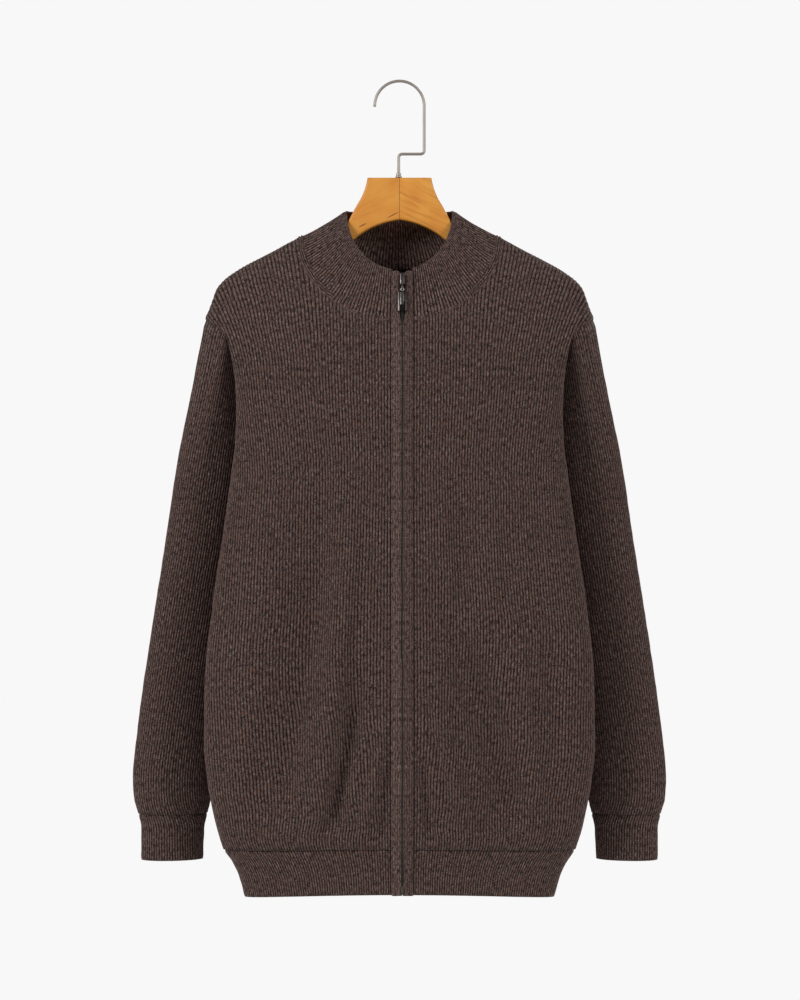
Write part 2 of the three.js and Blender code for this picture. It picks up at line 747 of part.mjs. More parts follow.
function sliderGeometry() {
  const half = CROWN_LENGTH / 2;
  const body = solid(plate(SLIDER_HALF_GAP - GAP, -half + 0.5, half - 0.5, 0, 3.3, 1.2));
  const frame = solid(plate(RAIL_HALF, -half, half, -CROWN_FRONT, 0.2, 1.1));
  const slot = solid(plate(RAIL_HALF - RAIL_WIDTH, -half - 1, half - 1.4, -CROWN_FRONT - 1, -0.4, 0.3));
  const pin = solid(bar(PIN_RADIUS, RAIL_HALF - 0.3, -PIN_OUT, -PIN_DOWN, 12));
  return geometryOf(body.add(frame.subtract(slot)).add(pin));
}

// The tab is built about its pin: the ring, a neck with an eye, and the plate with a raised middle.
function tabGeometry() {
  const ring = solid(bar(RING_OUTER, RING_HALF, 0, 0, 20)).subtract(solid(bar(RING_INNER, 2, 0, 0, 16)));
  const eyeTop = -RING_OUTER + 0.3 - TAB_NECK;
  const neck = solid(plate(0.9, eyeTop - 0.8, eyeTop + TAB_NECK, -0.6, 0.6, 0.3));
  const eye = solid(plate(2.5, eyeTop - EYE_LENGTH, eyeTop, -0.75, 0.75, 1.6));
  const hole = solid(plate(0.8, eyeTop - 3.3, eyeTop - 1.7, -2, 2, 0.7));
  const plateTop = eyeTop - EYE_LENGTH;
  const face = -TAB_THICK / 2;
  const body = solid(plate(TAB_WIDTH / 2, plateTop - TAB_LENGTH, plateTop, face, -face, 0.6));
  const raised = solid(plate(2.3, plateTop - 14.5, plateTop - 0.3, face - 0.7, 0, 0.4));
  const window = solid(plate(2.3, plateTop - 20.3, plateTop - 16, face - 1, -0.1, 0.3));
  return geometryOf(ring.add(eye.add(neck).subtract(hole)).add(body.subtract(window)).add(raised));
}

// ---- hanger ----
const WIRE = 1.6;
const HOOK_R = 27.2;           // centreline radius of the hook
const HOOK_TOP = WIRE;         // the wire's centre above the origin
const SHANK_X = -0.9;
const JOG_Z = -78.7;
const JOG_BEND = 4.5;
const WOOD_TOP = -105;
const WOOD_THICK = 11;
const WOOD_EDGE = 2.5;         // rounded edges of the wood

function hookGeometry() {
  const centreZ = HOOK_TOP - HOOK_R;
  const path = new THREE.CurvePath();
  const at = (x, z) => new THREE.Vector3(x, 0, z);
  path.add(new THREE.LineCurve3(at(SHANK_X, -101), at(SHANK_X, JOG_Z - JOG_BEND)));
  path.add(new THREE.QuadraticBezierCurve3(at(SHANK_X, JOG_Z - JOG_BEND), at(SHANK_X, JOG_Z),
    at(SHANK_X + JOG_BEND, JOG_Z)));
  path.add(new THREE.LineCurve3(at(SHANK_X + JOG_BEND, JOG_Z), at(HOOK_R - JOG_BEND, JOG_Z)));
  path.add(new THREE.QuadraticBezierCurve3(at(HOOK_R - JOG_BEND, JOG_Z), at(HOOK_R, JOG_Z),
    at(HOOK_R, JOG_Z + JOG_BEND)));
  path.add(new THREE.LineCurve3(at(HOOK_R, JOG_Z + JOG_BEND), at(HOOK_R, centreZ)));
  const arc = [];
  for (let i = 0; i <= 24; i++) {
    const angle = (i / 24) * Math.PI;
    arc.push(at(HOOK_R * Math.cos(angle), centreZ + HOOK_R * Math.sin(angle)));
  }
  path.add(new THREE.CatmullRomCurve3(arc));
  const section = new THREE.Shape();
  section.absarc(0, 0, WIRE, 0, Math.PI * 2);
  return new THREE.ExtrudeGeometry(section, { extrudePath: path, steps: 60, curveSegments: 5 });
}

// One half of the wooden body, from the middle joint out along the arm to its rounded end.
function armGeometry(side) {
  const shape = new THREE.Shape();
  const middle = GAP / 2 + WOOD_EDGE;
  shape.moveTo(middle, WOOD_TOP - WOOD_EDGE);
  shape.lineTo(33, WOOD_TOP - WOOD_EDGE);
  shape.quadraticCurveTo(35.5, -121, 42, -132);
  shape.quadraticCurveTo(47.5, -141, 53, -152);
  shape.quadraticCurveTo(61, -168, 111, -190);
  shape.lineTo(137, -200);
  shape.lineTo(160, -209);
  shape.lineTo(178, -218.5);
  shape.quadraticCurveTo(189, -226, 190, -236);
  shape.quadraticCurveTo(190, -243, 181, -242);
  shape.quadraticCurveTo(150, -230, 111, -211);
  shape.quadraticCurveTo(78, -192, 49, -169);
  shape.quadraticCurveTo(28, -152.5, middle, -149);
  const geometry = new THREE.ExtrudeGeometry(shape, { depth: WOOD_THICK - 2 * WOOD_EDGE, curveSegments: 5,
    bevelEnabled: true, bevelThickness: WOOD_EDGE, bevelSize: WOOD_EDGE, bevelSegments: 3 });
  geometry.rotateX(Math.PI / 2);
  geometry.translate(0, WOOD_THICK / 2 - WOOD_EDGE, 0);
  if (side < 0) {
    geometry.rotateZ(Math.PI);
  }
  return geometry;
}

function ferruleGeometry() {
  const bore = WIRE + GAP;
  const profile = [[bore, WOOD_TOP + GAP], [3.4, WOOD_TOP + GAP], [3.4, WOOD_TOP + 2], [2.7, WOOD_TOP + 2.6],
    [2.7, WOOD_TOP + 5.2], [bore, WOOD_TOP + 5.6]];
  const points = [...profile, profile[0]].map(([x, y]) => new THREE.Vector2(x, y));
  const geometry = new THREE.LatheGeometry(points, 20);
  geometry.rotateX(Math.PI / 2);
  geometry.translate(SHANK_X, 0, 0);
  return geometry;
}

// ---- the part ----
function look(color, roughness, metalness) {
  return new THREE.MeshStandardMaterial({ color, roughness, metalness });
}

const wool = look(0x4a3a34, 0.95, 0);
const tape = look(0x24211f, 0.9, 0);
const gunmetal = look(0x55534f, 0.35, 1);
const nickel = look(0xb8b8b6, 0.3, 1);
const wood = look(0xd8964a, 0.5, 0);

const part = new THREE.Group();

function add(name, geometry, material, parent = part) {
  const mesh = new THREE.Mesh(geometry, material);
  mesh.name = name;
  parent.add(mesh);
}

const cloth = {
  front_left: frontSurface(1),
  front_right: frontSurface(-1),
  back: backSurface(),
  hem_front_left: hemFront(1),
  hem_front_right: hemFront(-1),
  hem_back: hemBack(),
  sleeve_left: sleeveSurface(1),
  sleeve_right: sleeveSurface(-1),
  cuff_left: cuffSurface(1),
  cuff_right: cuffSurface(-1),
  collar: collarSurface(),
};
matchSeams(Object.values(cloth));
for (const [name, surface] of Object.entries(cloth)) {
  add(name, shell(surface, name === "collar" ? COLLAR_CLOTH : CLOTH), wool);
}
for (const [suffix, side] of [["left", 1], ["right", -1]]) {
  add(`placket_${suffix}`, placket(side), wool);
  add(`zip_tape_${suffix}`, zipTape(side), tape);
  add(`hanger_arm_${suffix}`, armGeometry(side), wood);
}
add("zip_box", plate(1.3, 0, 9, -1.2, 1.6, 0.4).translate(ZIP_X, middleY(-880), HEM_BOTTOM + 1), gunmetal);
add("hanger_ferrule", ferruleGeometry(), nickel);
add("hanger_hook", hookGeometry(), nickel);

const sliderPlace = new THREE.Group();
sliderPlace.position.set(ZIP_X, middleY(SLIDER_Z) - PLACKET_RAISE, SLIDER_Z);
sliderPlace.rotation.x = -LEAN;
add("zip_slider", sliderGeometry(), gunmetal, sliderPlace);
const tabPlace = new THREE.Group();
tabPlace.position.set(0, -PIN_OUT, -PIN_DOWN);
add("zip_pull_tab", tabGeometry(), gunmetal, tabPlace);
sliderPlace.add(tabPlace);
part.add(sliderPlace);

export default part;
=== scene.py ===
# Ribbed full-zip cardigan on a wooden hanger: the finished surface of every piece.
# Metres, +Z up, +X the wearer's left, the front faces -Y; lengths in the tables are millimetres.
import math
import bpy
import numpy as np
from mathutils import Matrix


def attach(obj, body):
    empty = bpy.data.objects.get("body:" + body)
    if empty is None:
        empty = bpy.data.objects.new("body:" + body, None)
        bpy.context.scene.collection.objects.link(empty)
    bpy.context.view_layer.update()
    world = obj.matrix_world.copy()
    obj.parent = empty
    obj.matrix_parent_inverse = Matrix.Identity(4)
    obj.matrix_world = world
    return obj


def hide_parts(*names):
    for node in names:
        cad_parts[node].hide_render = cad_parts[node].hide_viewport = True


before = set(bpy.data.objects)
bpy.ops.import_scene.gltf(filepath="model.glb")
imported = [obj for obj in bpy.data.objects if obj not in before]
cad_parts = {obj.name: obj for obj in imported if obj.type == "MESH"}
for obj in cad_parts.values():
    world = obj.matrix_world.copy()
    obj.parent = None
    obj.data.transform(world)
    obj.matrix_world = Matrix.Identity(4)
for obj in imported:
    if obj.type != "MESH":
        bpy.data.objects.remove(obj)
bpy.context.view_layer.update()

scene = bpy.context.scene


# ---- front panels ----
# Two fronts, left and right of the zip, knitted in a fine rib from brown melange wool on a fine
# gauge machine and linked to the collar, sleeves, hem bands and plackets.
CLOTH = 1.9          # mm, the wall of the rib knit
RIB = 3.2            # mm from rib to rib over the body
RIB_DEPTH = 1.0      # mm from the top of a rib to the bottom of the groove
GAP = 0.3            # mm between pieces at a seam
ZIP_X = 3.0
PLACKET_EDGE = 10.6  # mm from the zip's middle to the fronts
ARMPIT = -435.0
YOKE = -268.0        # from here up the ribs fan out to the neck and shoulder seams
SHOULDER_POINT = -261.0
SHOULDER_HALF = 214.3
BODY_BOTTOM = -835.5
FRONT_RIBS = 82
PER_RIB = 4          # columns of points across a rib


def smooth_table(names, rows):
    """Columns that run smoothly from level to level, without overshoot."""
    data = np.array(sorted(rows), float)
    z, values = data[:, 0], data[:, 1:]
    step = np.diff(values, axis=0) / np.diff(z)[:, None]
    before = np.vstack([step[:1], step])
    after = np.vstack([step, step[-1:]])
    rising = before * after > 0
    slope = np.where(rising, 2 * before * after / np.where(rising, before + after, 1), 0)

    def column(c):
        def at(level):
            level = np.clip(level, z[0], z[-1])
            i = np.clip(np.searchsorted(z, level) - 1, 0, len(z) - 2)
            width = z[i + 1] - z[i]
            t = (level - z[i]) / width
            ends = (2 * t**3 - 3 * t**2 + 1) * values[i, c] + (3 * t**2 - 2 * t**3) * values[i + 1, c]
            bend = (t**3 - 2 * t**2 + t) * slope[i, c] + (t**3 - t**2) * slope[i + 1, c]
            return ends + bend * width
        return at
    return {name: column(c) for c, name in enumerate(names)}


# z: half width, depth where it is widest, depth at the middle, squareness, then where the seam
# behind lies and how far the edge is tucked in to it.
front = smooth_table(["half", "wide_y", "depth", "square", "seam_y", "tuck"], [
    [-170, 111, 0, 14, 1.9, 0, 0], [-184, 137, 0, 22, 1.9, 0, 0], [-195, 158, 0, 29, 1.9, 0, 0],
    [-206, 178, 0, 35, 1.9, 0, 0], [-217, 193, 0, 41, 1.9, 0, 0], [-228, 202, 0, 46, 1.9, 0, 0],
    [-239, 206, 0, 52, 2.0, 0, 0], [-250, 210, 0, 57, 2.0, 0, 0], [-261, 214.5, 0, 61, 2.1, 0, 0],
    [-268, 205, -28, 63, 2.1, -22, 0], [-273, 195, -28, 64, 2.1, -30, 0],
    [-281, 188.6, -28, 65, 2.2, -35, 0], [-297, 184, -28, 67, 2.3, -25, 2],
    [-315, 181, -28, 69, 2.3, -13, 5], [-340, 178.5, -28, 70, 2.4, -1, 9],
    [-370, 178, -28, 72, 2.4, 10, 14], [-400, 179.5, -28, 73, 2.4, 19, 18],
    [-435, 184, -28, 74, 2.4, 27, 22], [-481, 190, -28, 75, 2.4, 27, 23],
    [-569, 203, -29, 77, 2.3, 27, 24], [-657, 212, -30, 79, 2.3, 27, 25],
    [-723, 213, -30, 80, 2.2, 26, 25], [-767, 209, -30, 80, 2.2, 25, 24],
    [-800, 203, -28, 78, 2.2, 23, 22], [-822, 197, -26, 73, 2.2, 21, 20],
    [-835, 192, -25, 69, 2.2, 20, 18], [-850, 182, -23, 64, 2.2, 18, 16],
    [-866, 174.5, -22, 60, 2.2, 17, 15], [-889, 168.4, -22, 57, 2.2, 17, 15]])
shoulder = smooth_table(["half"], [
    [-170, 111], [-184, 137], [-195, 158], [-206, 178], [-217, 193], [-228, 202], [-239, 206],
    [-250, 210], [-261, 214.5], [-281, 219.5], [-315, 226.5], [-350, 233], [-400, 243]])
# Soft folds: z at the top and foot, x at the top, middle and foot, how far they reach to the left and
# the right of that line as seen, and their height (a trough is below 0).
FOLDS = {
    "right": [[-380, -822, -90, -99, -142, 50, 27, -19], [-430, -826, -44, -66, -95, 18, 16, 9],
              [-610, -826, -38, -54, -76, 15, 14, -11], [-660, -828, -8, -24, -43, 12, 10, 7.5],
              [-720, -829, -8, -14, -20, 8, 8, -5], [-400, -815, -150, -168, -176, 24, 28, 6]],
    "left": [[-545, -824, 38, 90, 124, 32, 23, -17], [-600, -826, 20, 48, 74, 15, 17, 10],
             [-700, -829, 16, 26, 34, 8, 8, -6], [-540, -824, 118, 134, 154, 20, 16, 9],
             [-560, -745, 148, 164, 172, 14, 13, -8], [-420, -600, 98, 100, 98, 16, 16, 5],
             [-420, -600, 60, 66, 70, 15, 12, -6.5]],
    "back": [[-480, -820, -62, -92, -128, 34, 26, -14], [-600, -826, -18, -34, -52, 18, 16, 7],
             [-440, -820, 52, 74, 110, 26, 32, -14], [-640, -828, 16, 24, 34, 14, 12, -6]]}


def smoothstep(x, low, high):
    t = np.clip((x - low) / (high - low), 0, 1)
    return t * t * (3 - 2 * t)


def fold_height(folds, x, z):
    height = 0
    for top_z, low_z, top_x, mid_x, low_x, left, right, rise in folds:
        along = np.clip((top_z - z) / (top_z - low_z), 0, 1)
        bow = 2 * mid_x - (top_x + low_x) / 2
        centre = (1 - along) ** 2 * top_x + 2 * along * (1 - along) * bow + along**2 * low_x
        fade = np.minimum(1, np.minimum(along * 2.5, (1 - along) * 7))
        half = np.where(x < centre, left, right)
        height = height + rise * fade * np.clip(1 - ((x - centre) / half) ** 2, 0, 1) ** 2
    return height


def bulge(x, half, square):
    return np.maximum(0, 1 - (np.abs(x) / half) ** square) ** (1 / square)


def front_y(x, z):
    lens = -front["depth"](z) * bulge(x, shoulder["half"](z), front["square"](z))
    wide = front["wide_y"](z)
    fold = wide - (front["depth"](z) + wide) * bulge(x, front["half"](z), front["square"](z))
    folds = np.where(x < ZIP_X, fold_height(FOLDS["right"], x, z), fold_height(FOLDS["left"], x, z))
    folds = folds * smoothstep(np.abs(x - ZIP_X), 10, 24)    # the placket holds the edge straight
    return lens + (fold - lens) * smoothstep(-z, 275, 345) - folds * bulge(x, front["half"](z), 2)


def lowered(x, y, z):
    """The hem hangs a little lower at the sides."""
    return np.stack([x, y, z - smoothstep(-z, 780, 886) * 6 * (x / 170) ** 2], -1)


def front_row(z, side):
    """One course of a front, from the placket round the side fold to its seam."""
    inner = PLACKET_EDGE + side * ZIP_X
    half = front["half"](z)
    x = inner + (half - inner) * np.sin(np.linspace(0, np.pi / 2, 160))
    y = front_y(side * x, np.full_like(x, z))
    wrap = front["seam_y"](z) - y[-1]
    if wrap > 1:
        s = np.linspace(0, 1, 30)[1:]
        x, y = np.append(x, half - front["tuck"](z) * s * s), np.append(y, y[-1] + wrap * s)
    return lowered(side * x, y, np.full_like(x, z))


def lengths(points):
    return np.append(0, np.cumsum(np.linalg.norm(np.diff(points, axis=0), axis=1)))


def spread(points, at):
    """Points of a line at these lengths along it."""
    run = lengths(points)
    return np.stack([np.interp(at, run, points[:, c]) for c in range(3)], -1)


def grid_run(grid, axis):
    """Lengths along a grid of points, up its courses (axis 0) or across its ribs (axis 1)."""
    steps = np.linalg.norm(np.diff(grid, axis=axis), axis=2)
    return np.insert(np.cumsum(steps, axis=axis), 0, 0, axis=axis)


def even_row(points, count, gap=GAP):
    return spread(points, np.linspace(gap, lengths(points)[-1] - gap, count + 1))


NECK_Z, NECK_HALF = -170.5, 112.0
NECK_FALL, NAPE_FALL = 94.0, 31.0    # mm that the neck seam falls in front and behind


def neck_point(angle, gap=0.0):
    """The neck seam: angle 0 is the front, a quarter turn the shoulder seam."""
    forward = np.cos(angle) > 1e-9
    x = (NECK_HALF + gap) * np.sin(angle)
    drop = np.where(forward, NECK_FALL, NAPE_FALL) + gap
    z = NECK_Z - drop * np.abs(np.cos(angle))
    return np.stack([x, np.where(forward, front_y(x, z), back_y(x, z)), z], -1)


def ridge(side):
    """The shoulder seam, from the neck out to the shoulder point."""
    x = np.linspace(NECK_HALF + GAP, SHOULDER_HALF, 120)
    levels = np.linspace(SHOULDER_POINT, NECK_Z, 400)
    return np.stack([side * x, 0 * x, np.interp(-x, -front["half"](levels), levels)], -1)


LEAN = smooth_table(["degrees"], [[0, 0], [50, 1], [85, 4], [100, 8], [130, 12], [150, 15],
                                  [180, 23], [192, 29], [206, 46]])


def lean_at(x):
    """How steeply the ribs lean out with the shoulders."""
    return np.tan(np.radians(LEAN["degrees"](np.abs(x)))) * np.sign(x)


def front_body(side):
    """Courses from the hem to the yoke. Above the armpit the ribs keep their spacing, lean out a
    little and end one after another on the armhole; those that have ended share its last point."""
    levels = np.append(np.linspace(BODY_BOTTOM, ARMPIT, 54), np.linspace(-429, YOKE, 30))
    columns = np.arange(FRONT_RIBS * PER_RIB + 1.0)
    grid, u, same = [], [], []
    step, before, at = 0, ARMPIT, None
    for z in levels:
        row = front_row(z, side)
        last = lengths(row)[-1] - GAP / 2
        if z <= ARMPIT:
            step = (last - GAP) / columns[-1]
            at = GAP + columns * step
        else:
            wider = 1 + 0.08 * (smoothstep(z, ARMPIT, -310) - smoothstep(before, ARMPIT, -310))
            x = side * spread(row, np.minimum(at, last))[:, 0]
            at = GAP + (at - GAP) * wider + lean_at(x) * smoothstep(z, -335, -270) * (z - before)
            before = z
        end = np.interp(last, at, columns, right=columns[-1])
        grid.append(spread(row, np.minimum(at, last)))
        u.append(np.minimum(columns, end) / PER_RIB)
        same.append(np.minimum(columns, math.ceil(end - 1e-6)).astype(int))
    return grid, u, same


def crown(base, seam, surface, rows):
    """Ribs from the yoke line up to the neck and shoulder seams, leaning out with the shoulders."""
    x, z = base[:, 0], base[:, 2]
    lean = lean_at(x)
    order = np.sign(seam[-1, 0] - seam[0, 0])
    tops = []
    for j in range(len(base)):
        across = (seam[:, 0] - lean[j] * (seam[:, 2] - z[j])) * order
        at = np.interp(x[j] * order, np.maximum.accumulate(across), np.arange(len(seam)))
        tops.append([np.interp(at, np.arange(len(seam)), seam[:, c]) for c in range(3)])
    top = np.array(tops)
    top[np.all(base == base[-1], axis=1)] = seam[-1]
    turn = 1.25 - 0.25 * smoothstep(np.abs(x), 140, 200)
    grid = []
    for s in np.linspace(0, 1, rows + 1)[1:]:
        t = 1 - (1 - s) ** 1.7
        px, pz = x + (top[:, 0] - x) * t**turn, z + (top[:, 2] - z) * t
        half = front["half"](pz)
        grid.append(np.stack([px, surface(np.clip(px, -half, half), pz), pz], -1))
    grid[-1][:, 1] = top[:, 1]
    return grid


# The back's tables stand here because the neck seam runs through it.
back_edge = smooth_table(["x", "y"], [
    [-170, 111, 0], [-184, 137, 0], [-195, 158, 0], [-206, 178, 0], [-217, 193, 0], [-228, 202, 0],
    [-239, 206, 0], [-250, 210, 0], [-261, 214.5, 0], [-268, 210, 10], [-281, 203, 21],
    [-297, 197, 28], [-315, 191, 33], [-340, 185, 37], [-370, 176, 38], [-400, 167, 34],
    [-435, 162, 27]])
back_form = smooth_table(["depth", "square"], [
    [-170, 14, 1.9], [-184, 24, 1.9], [-195, 33, 1.9], [-206, 42, 1.9], [-217, 48, 1.9],
    [-228, 52, 1.9], [-250, 58, 2.0], [-281, 62, 2.1], [-350, 66, 2.0], [-437, 70, 1.9],
    [-569, 72, 1.9], [-723, 75, 1.9], [-767, 74, 1.9], [-800, 71, 1.9], [-835, 64, 1.9],
    [-866, 57, 1.9], [-889, 54, 1.9]])


def back_seam(z):
    low = z < ARMPIT
    return (np.where(low, front["half"](z) - front["tuck"](z), back_edge["x"](z)),
            np.where(low, front["seam_y"](z), back_edge["y"](z)))


def back_y(x, z):
    edge, seam = back_seam(z)
    depth, square = back_form["depth"](z), back_form["square"](z)
    lens = depth * bulge(x, shoulder["half"](z), square)
    fold = seam + (depth - seam) * bulge(x, edge, square)
    folds = fold_height(FOLDS["back"], x, z)
    return lens + (fold - lens) * smoothstep(-z, 275, 400) + folds * bulge(x, edge, 2)


def unevenness(shape, cells, seed):
    """Soft random waves between -1 and 1 over a grid, the same on every run."""
    coarse = np.random.RandomState(seed).uniform(-1, 1, (cells[0] + 3, cells[1] + 3))
    rows, columns = np.linspace(0.5, cells[0] + 0.5, shape[0]), np.linspace(0.5, cells[1] + 0.5, shape[1])

    def weights(at):
        i = at.astype(int)
        t = at - i
        return i, t * t * (3 - 2 * t)
    i, s = weights(rows)
    j, t = weights(columns)
    low = coarse[np.ix_(i, j)] * (1 - t) + coarse[np.ix_(i, j + 1)] * t
    high = coarse[np.ix_(i + 1, j)] * (1 - t) + coarse[np.ix_(i + 1, j + 1)] * t
    return low * (1 - s[:, None]) + high * s[:, None]


def facets(same):
    """Corners of the faces of a grid, as quads and triangles; columns that share a point weld."""
    rows, columns = same.shape
    cell = np.arange(rows * columns).reshape(rows, columns)
    weld = (cell[:, :1] + same).ravel()
    quad = np.stack([cell[:-1, :-1], cell[:-1, 1:], cell[1:, 1:], cell[1:, :-1]], -1).reshape(-1, 4)
    low = weld[quad[:, 0]] == weld[quad[:, 1]]
    high = weld[quad[:, 2]] == weld[quad[:, 3]]
    triangles = np.concatenate([quad[low & ~high][:, [0, 2, 3]], quad[high & ~low][:, :3]])
    return weld, quad[~low & ~high], triangles


def facing(grid, same):
    """Unit normals of a grid of points, the same for all that weld."""
    weld, quads, triangles = facets(same)
    points = grid.reshape(-1, 3)
    total = np.zeros_like(points)
    for faces in (quads, triangles):
        a, b, c, d = (points[faces[:, k]] for k in (0, 1, 2, -1))
        normal = np.cross(c - a, d - b) if faces.shape[1] == 4 else np.cross(b - a, c - a)
        for corner in faces.T:
            np.add.at(total, weld[corner], normal)
    total /= np.maximum(np.linalg.norm(total, axis=1, keepdims=True), 1e-12)
    return total[weld].reshape(grid.shape)


def placed(name, data):
    """A mesh or curve as an object in the scene."""
    made = bpy.data.objects.new(name, data)
    scene.collection.objects.link(made)
    return made


def walled(name, outer, inner, same, flip, uv_map):
    """A closed cloth wall between two grids of points in millimetres."""
    weld, quads, triangles = facets(same)
    if flip:
        quads, triangles = quads[:, ::-1], triangles[:, ::-1]
    size = len(weld)
    sides = [(f[:, k], f[:, (k + 1) % f.shape[1]]) for f in (quads, triangles) for k in range(f.shape[1])]
    a, b = (np.concatenate(ends) for ends in zip(*sides))
    open_edge = ~np.isin(weld[a] * size + weld[b], weld[b] * size + weld[a]) & (weld[a] != weld[b])
    a, b = a[open_edge], b[open_edge]
    quads = np.concatenate([quads, quads[:, ::-1] + size, np.stack([b, a, a + size, b + size], -1)])
    triangles = np.concatenate([triangles, triangles[:, ::-1] + size])
    corners = np.concatenate([quads.ravel(), triangles.ravel()])
    used, vertex = np.unique(np.append(weld, weld + size)[corners], return_inverse=True)
    points = np.concatenate([outer.reshape(-1, 3), inner.reshape(-1, 3)])[used] / 1000
    starts = np.append(np.arange(0, quads.size, 4), np.arange(quads.size, len(corners), 3))
    mesh = bpy.data.meshes.new(name)
    mesh.vertices.add(len(points))
    mesh.vertices.foreach_set("co", points.ravel())
    mesh.loops.add(len(corners))
    mesh.loops.foreach_set("vertex_index", vertex.ravel())
    mesh.polygons.add(len(starts))
    mesh.polygons.foreach_set("loop_start", starts)
    mesh.polygons.foreach_set("use_smooth", np.ones(len(starts), bool))
    mesh.update(calc_edges=True)
    mesh.uv_layers.new(name="knit").data.foreach_set("uv", uv_map.reshape(-1, 2)[corners % size].ravel())
    mesh.validate()
    return placed(name, mesh)


def unwelded(grid):
    return np.broadcast_to(np.arange(grid.shape[1]), grid.shape[:2])


def near_edge(distance, width=1.7):
    return np.exp(-(distance / width) ** 2)


def ridge_normal(x):
    """The way out from a shoulder seam, in its own plane."""
    seam = ridge(1)
    out = np.gradient(seam, axis=0)[:, [2, 1, 0]] * (-1, 0, 1)
    out /= np.linalg.norm(out, axis=1, keepdims=True)
    across, up = (np.interp(np.abs(x), seam[:, 0], out[:, c]) for c in (0, 2))
    return np.stack([across * np.sign(x), 0 * x, up], -1)


def knit(name, grid, u, flip, seed, same=None, curl=(0.8, 0.8, 0.8, 0.8), flat_top=None):
    """Rib knit on a smooth grid, where u counts the ribs; its edges (bottom, top, first, last)
    curl in at the seams. flat_top says where the last course lies in the plane of a shoulder seam."""
    rows, columns = grid.shape[:2]
    same = unwelded(grid) if same is None else same
    normal = facing(grid, same) * (-1 if flip else 1)
    if flat_top is not None:
        for k in range(4):
            out = ridge_normal(grid[-1 - k, flat_top, 0])
            normal[-1 - k, flat_top] = normal[-1 - k, flat_top] * k / 4 + out * (1 - k / 4)
        normal /= np.linalg.norm(normal, axis=2, keepdims=True)
    run, wide = grid_run(grid, 0), grid_run(grid, 1)
    tall, across = run.max() / 1000, wide.max() / 1000
    pitch = np.linalg.norm(np.gradient(grid, axis=1), axis=2) * PER_RIB
    depth = RIB_DEPTH * np.clip(pitch / RIB, 0, 1) * (
        1 + 0.3 * unevenness((rows, columns), (int(tall * 110) + 2, int(across * 160) + 2), seed))
    relief = -depth * (1 - np.abs(np.cos(np.pi * u)) ** 0.7) * (1 - 0.75 * near_edge(run[-1] - run, 3))
    relief += 0.3 * unevenness((rows, columns), (int(tall * 90) + 2, int(across * 60) + 2), seed + 1)
    relief -= curl[0] * near_edge(run) + curl[1] * near_edge(run[-1] - run)
    relief -= curl[2] * near_edge(wide) + curl[3] * near_edge(wide[:, -1:] - wide)
    along = np.gradient(grid, axis=1)
    along /= np.maximum(np.linalg.norm(along, axis=2, keepdims=True), 1e-9)
    sway = unevenness((rows, columns), (int(tall * 40) + 2, int(across * 40) + 2), seed + 2)
    fixed = 1 - sum(near_edge(d, 6) for d in (run, run[-1] - run, wide, wide[:, -1:] - wide))
    shifted = grid + along * (0.25 * sway * np.clip(fixed, 0, 1))[..., None]
    outer = shifted + normal * relief[..., None]
    uv_map = np.stack([np.broadcast_to(u, (rows, columns)), run / RIB], -1)
    return walled(name, outer, outer - normal * CLOTH, same, flip, uv_map)


def linear(code):
    """An sRGB hex colour as the linear values that a shader takes."""
    parts = [int(code[k:k + 2], 16) / 255 for k in (0, 2, 4)]
    return [p / 12.92 if p <= 0.04045 else ((p + 0.055) / 1.055) ** 2.4 for p in parts] + [1]


def add(tree, kind, settings=None, **links):
    """A node with its settings, and its inputs set to values or joined to sockets."""
    made = tree.nodes.new("ShaderNode" + kind)
    for key, value in (settings or {}).items():
        setattr(made, key, value)
    for key, value in links.items():
        socket = made.inputs[int(key[1:])] if key[1:].isdigit() else made.inputs[key.replace("_", " ")]
        if isinstance(value, bpy.types.NodeSocket):
            tree.links.new(value, socket)
        else:
            socket.default_value = value
    return made


def new_material(name):
    made = bpy.data.materials.new(name)
    made.use_nodes = True
    made.node_tree.nodes.clear()
    return made, made.node_tree


def finish_material(tree, shader):
    add(tree, "OutputMaterial", Surface=shader.outputs[0])


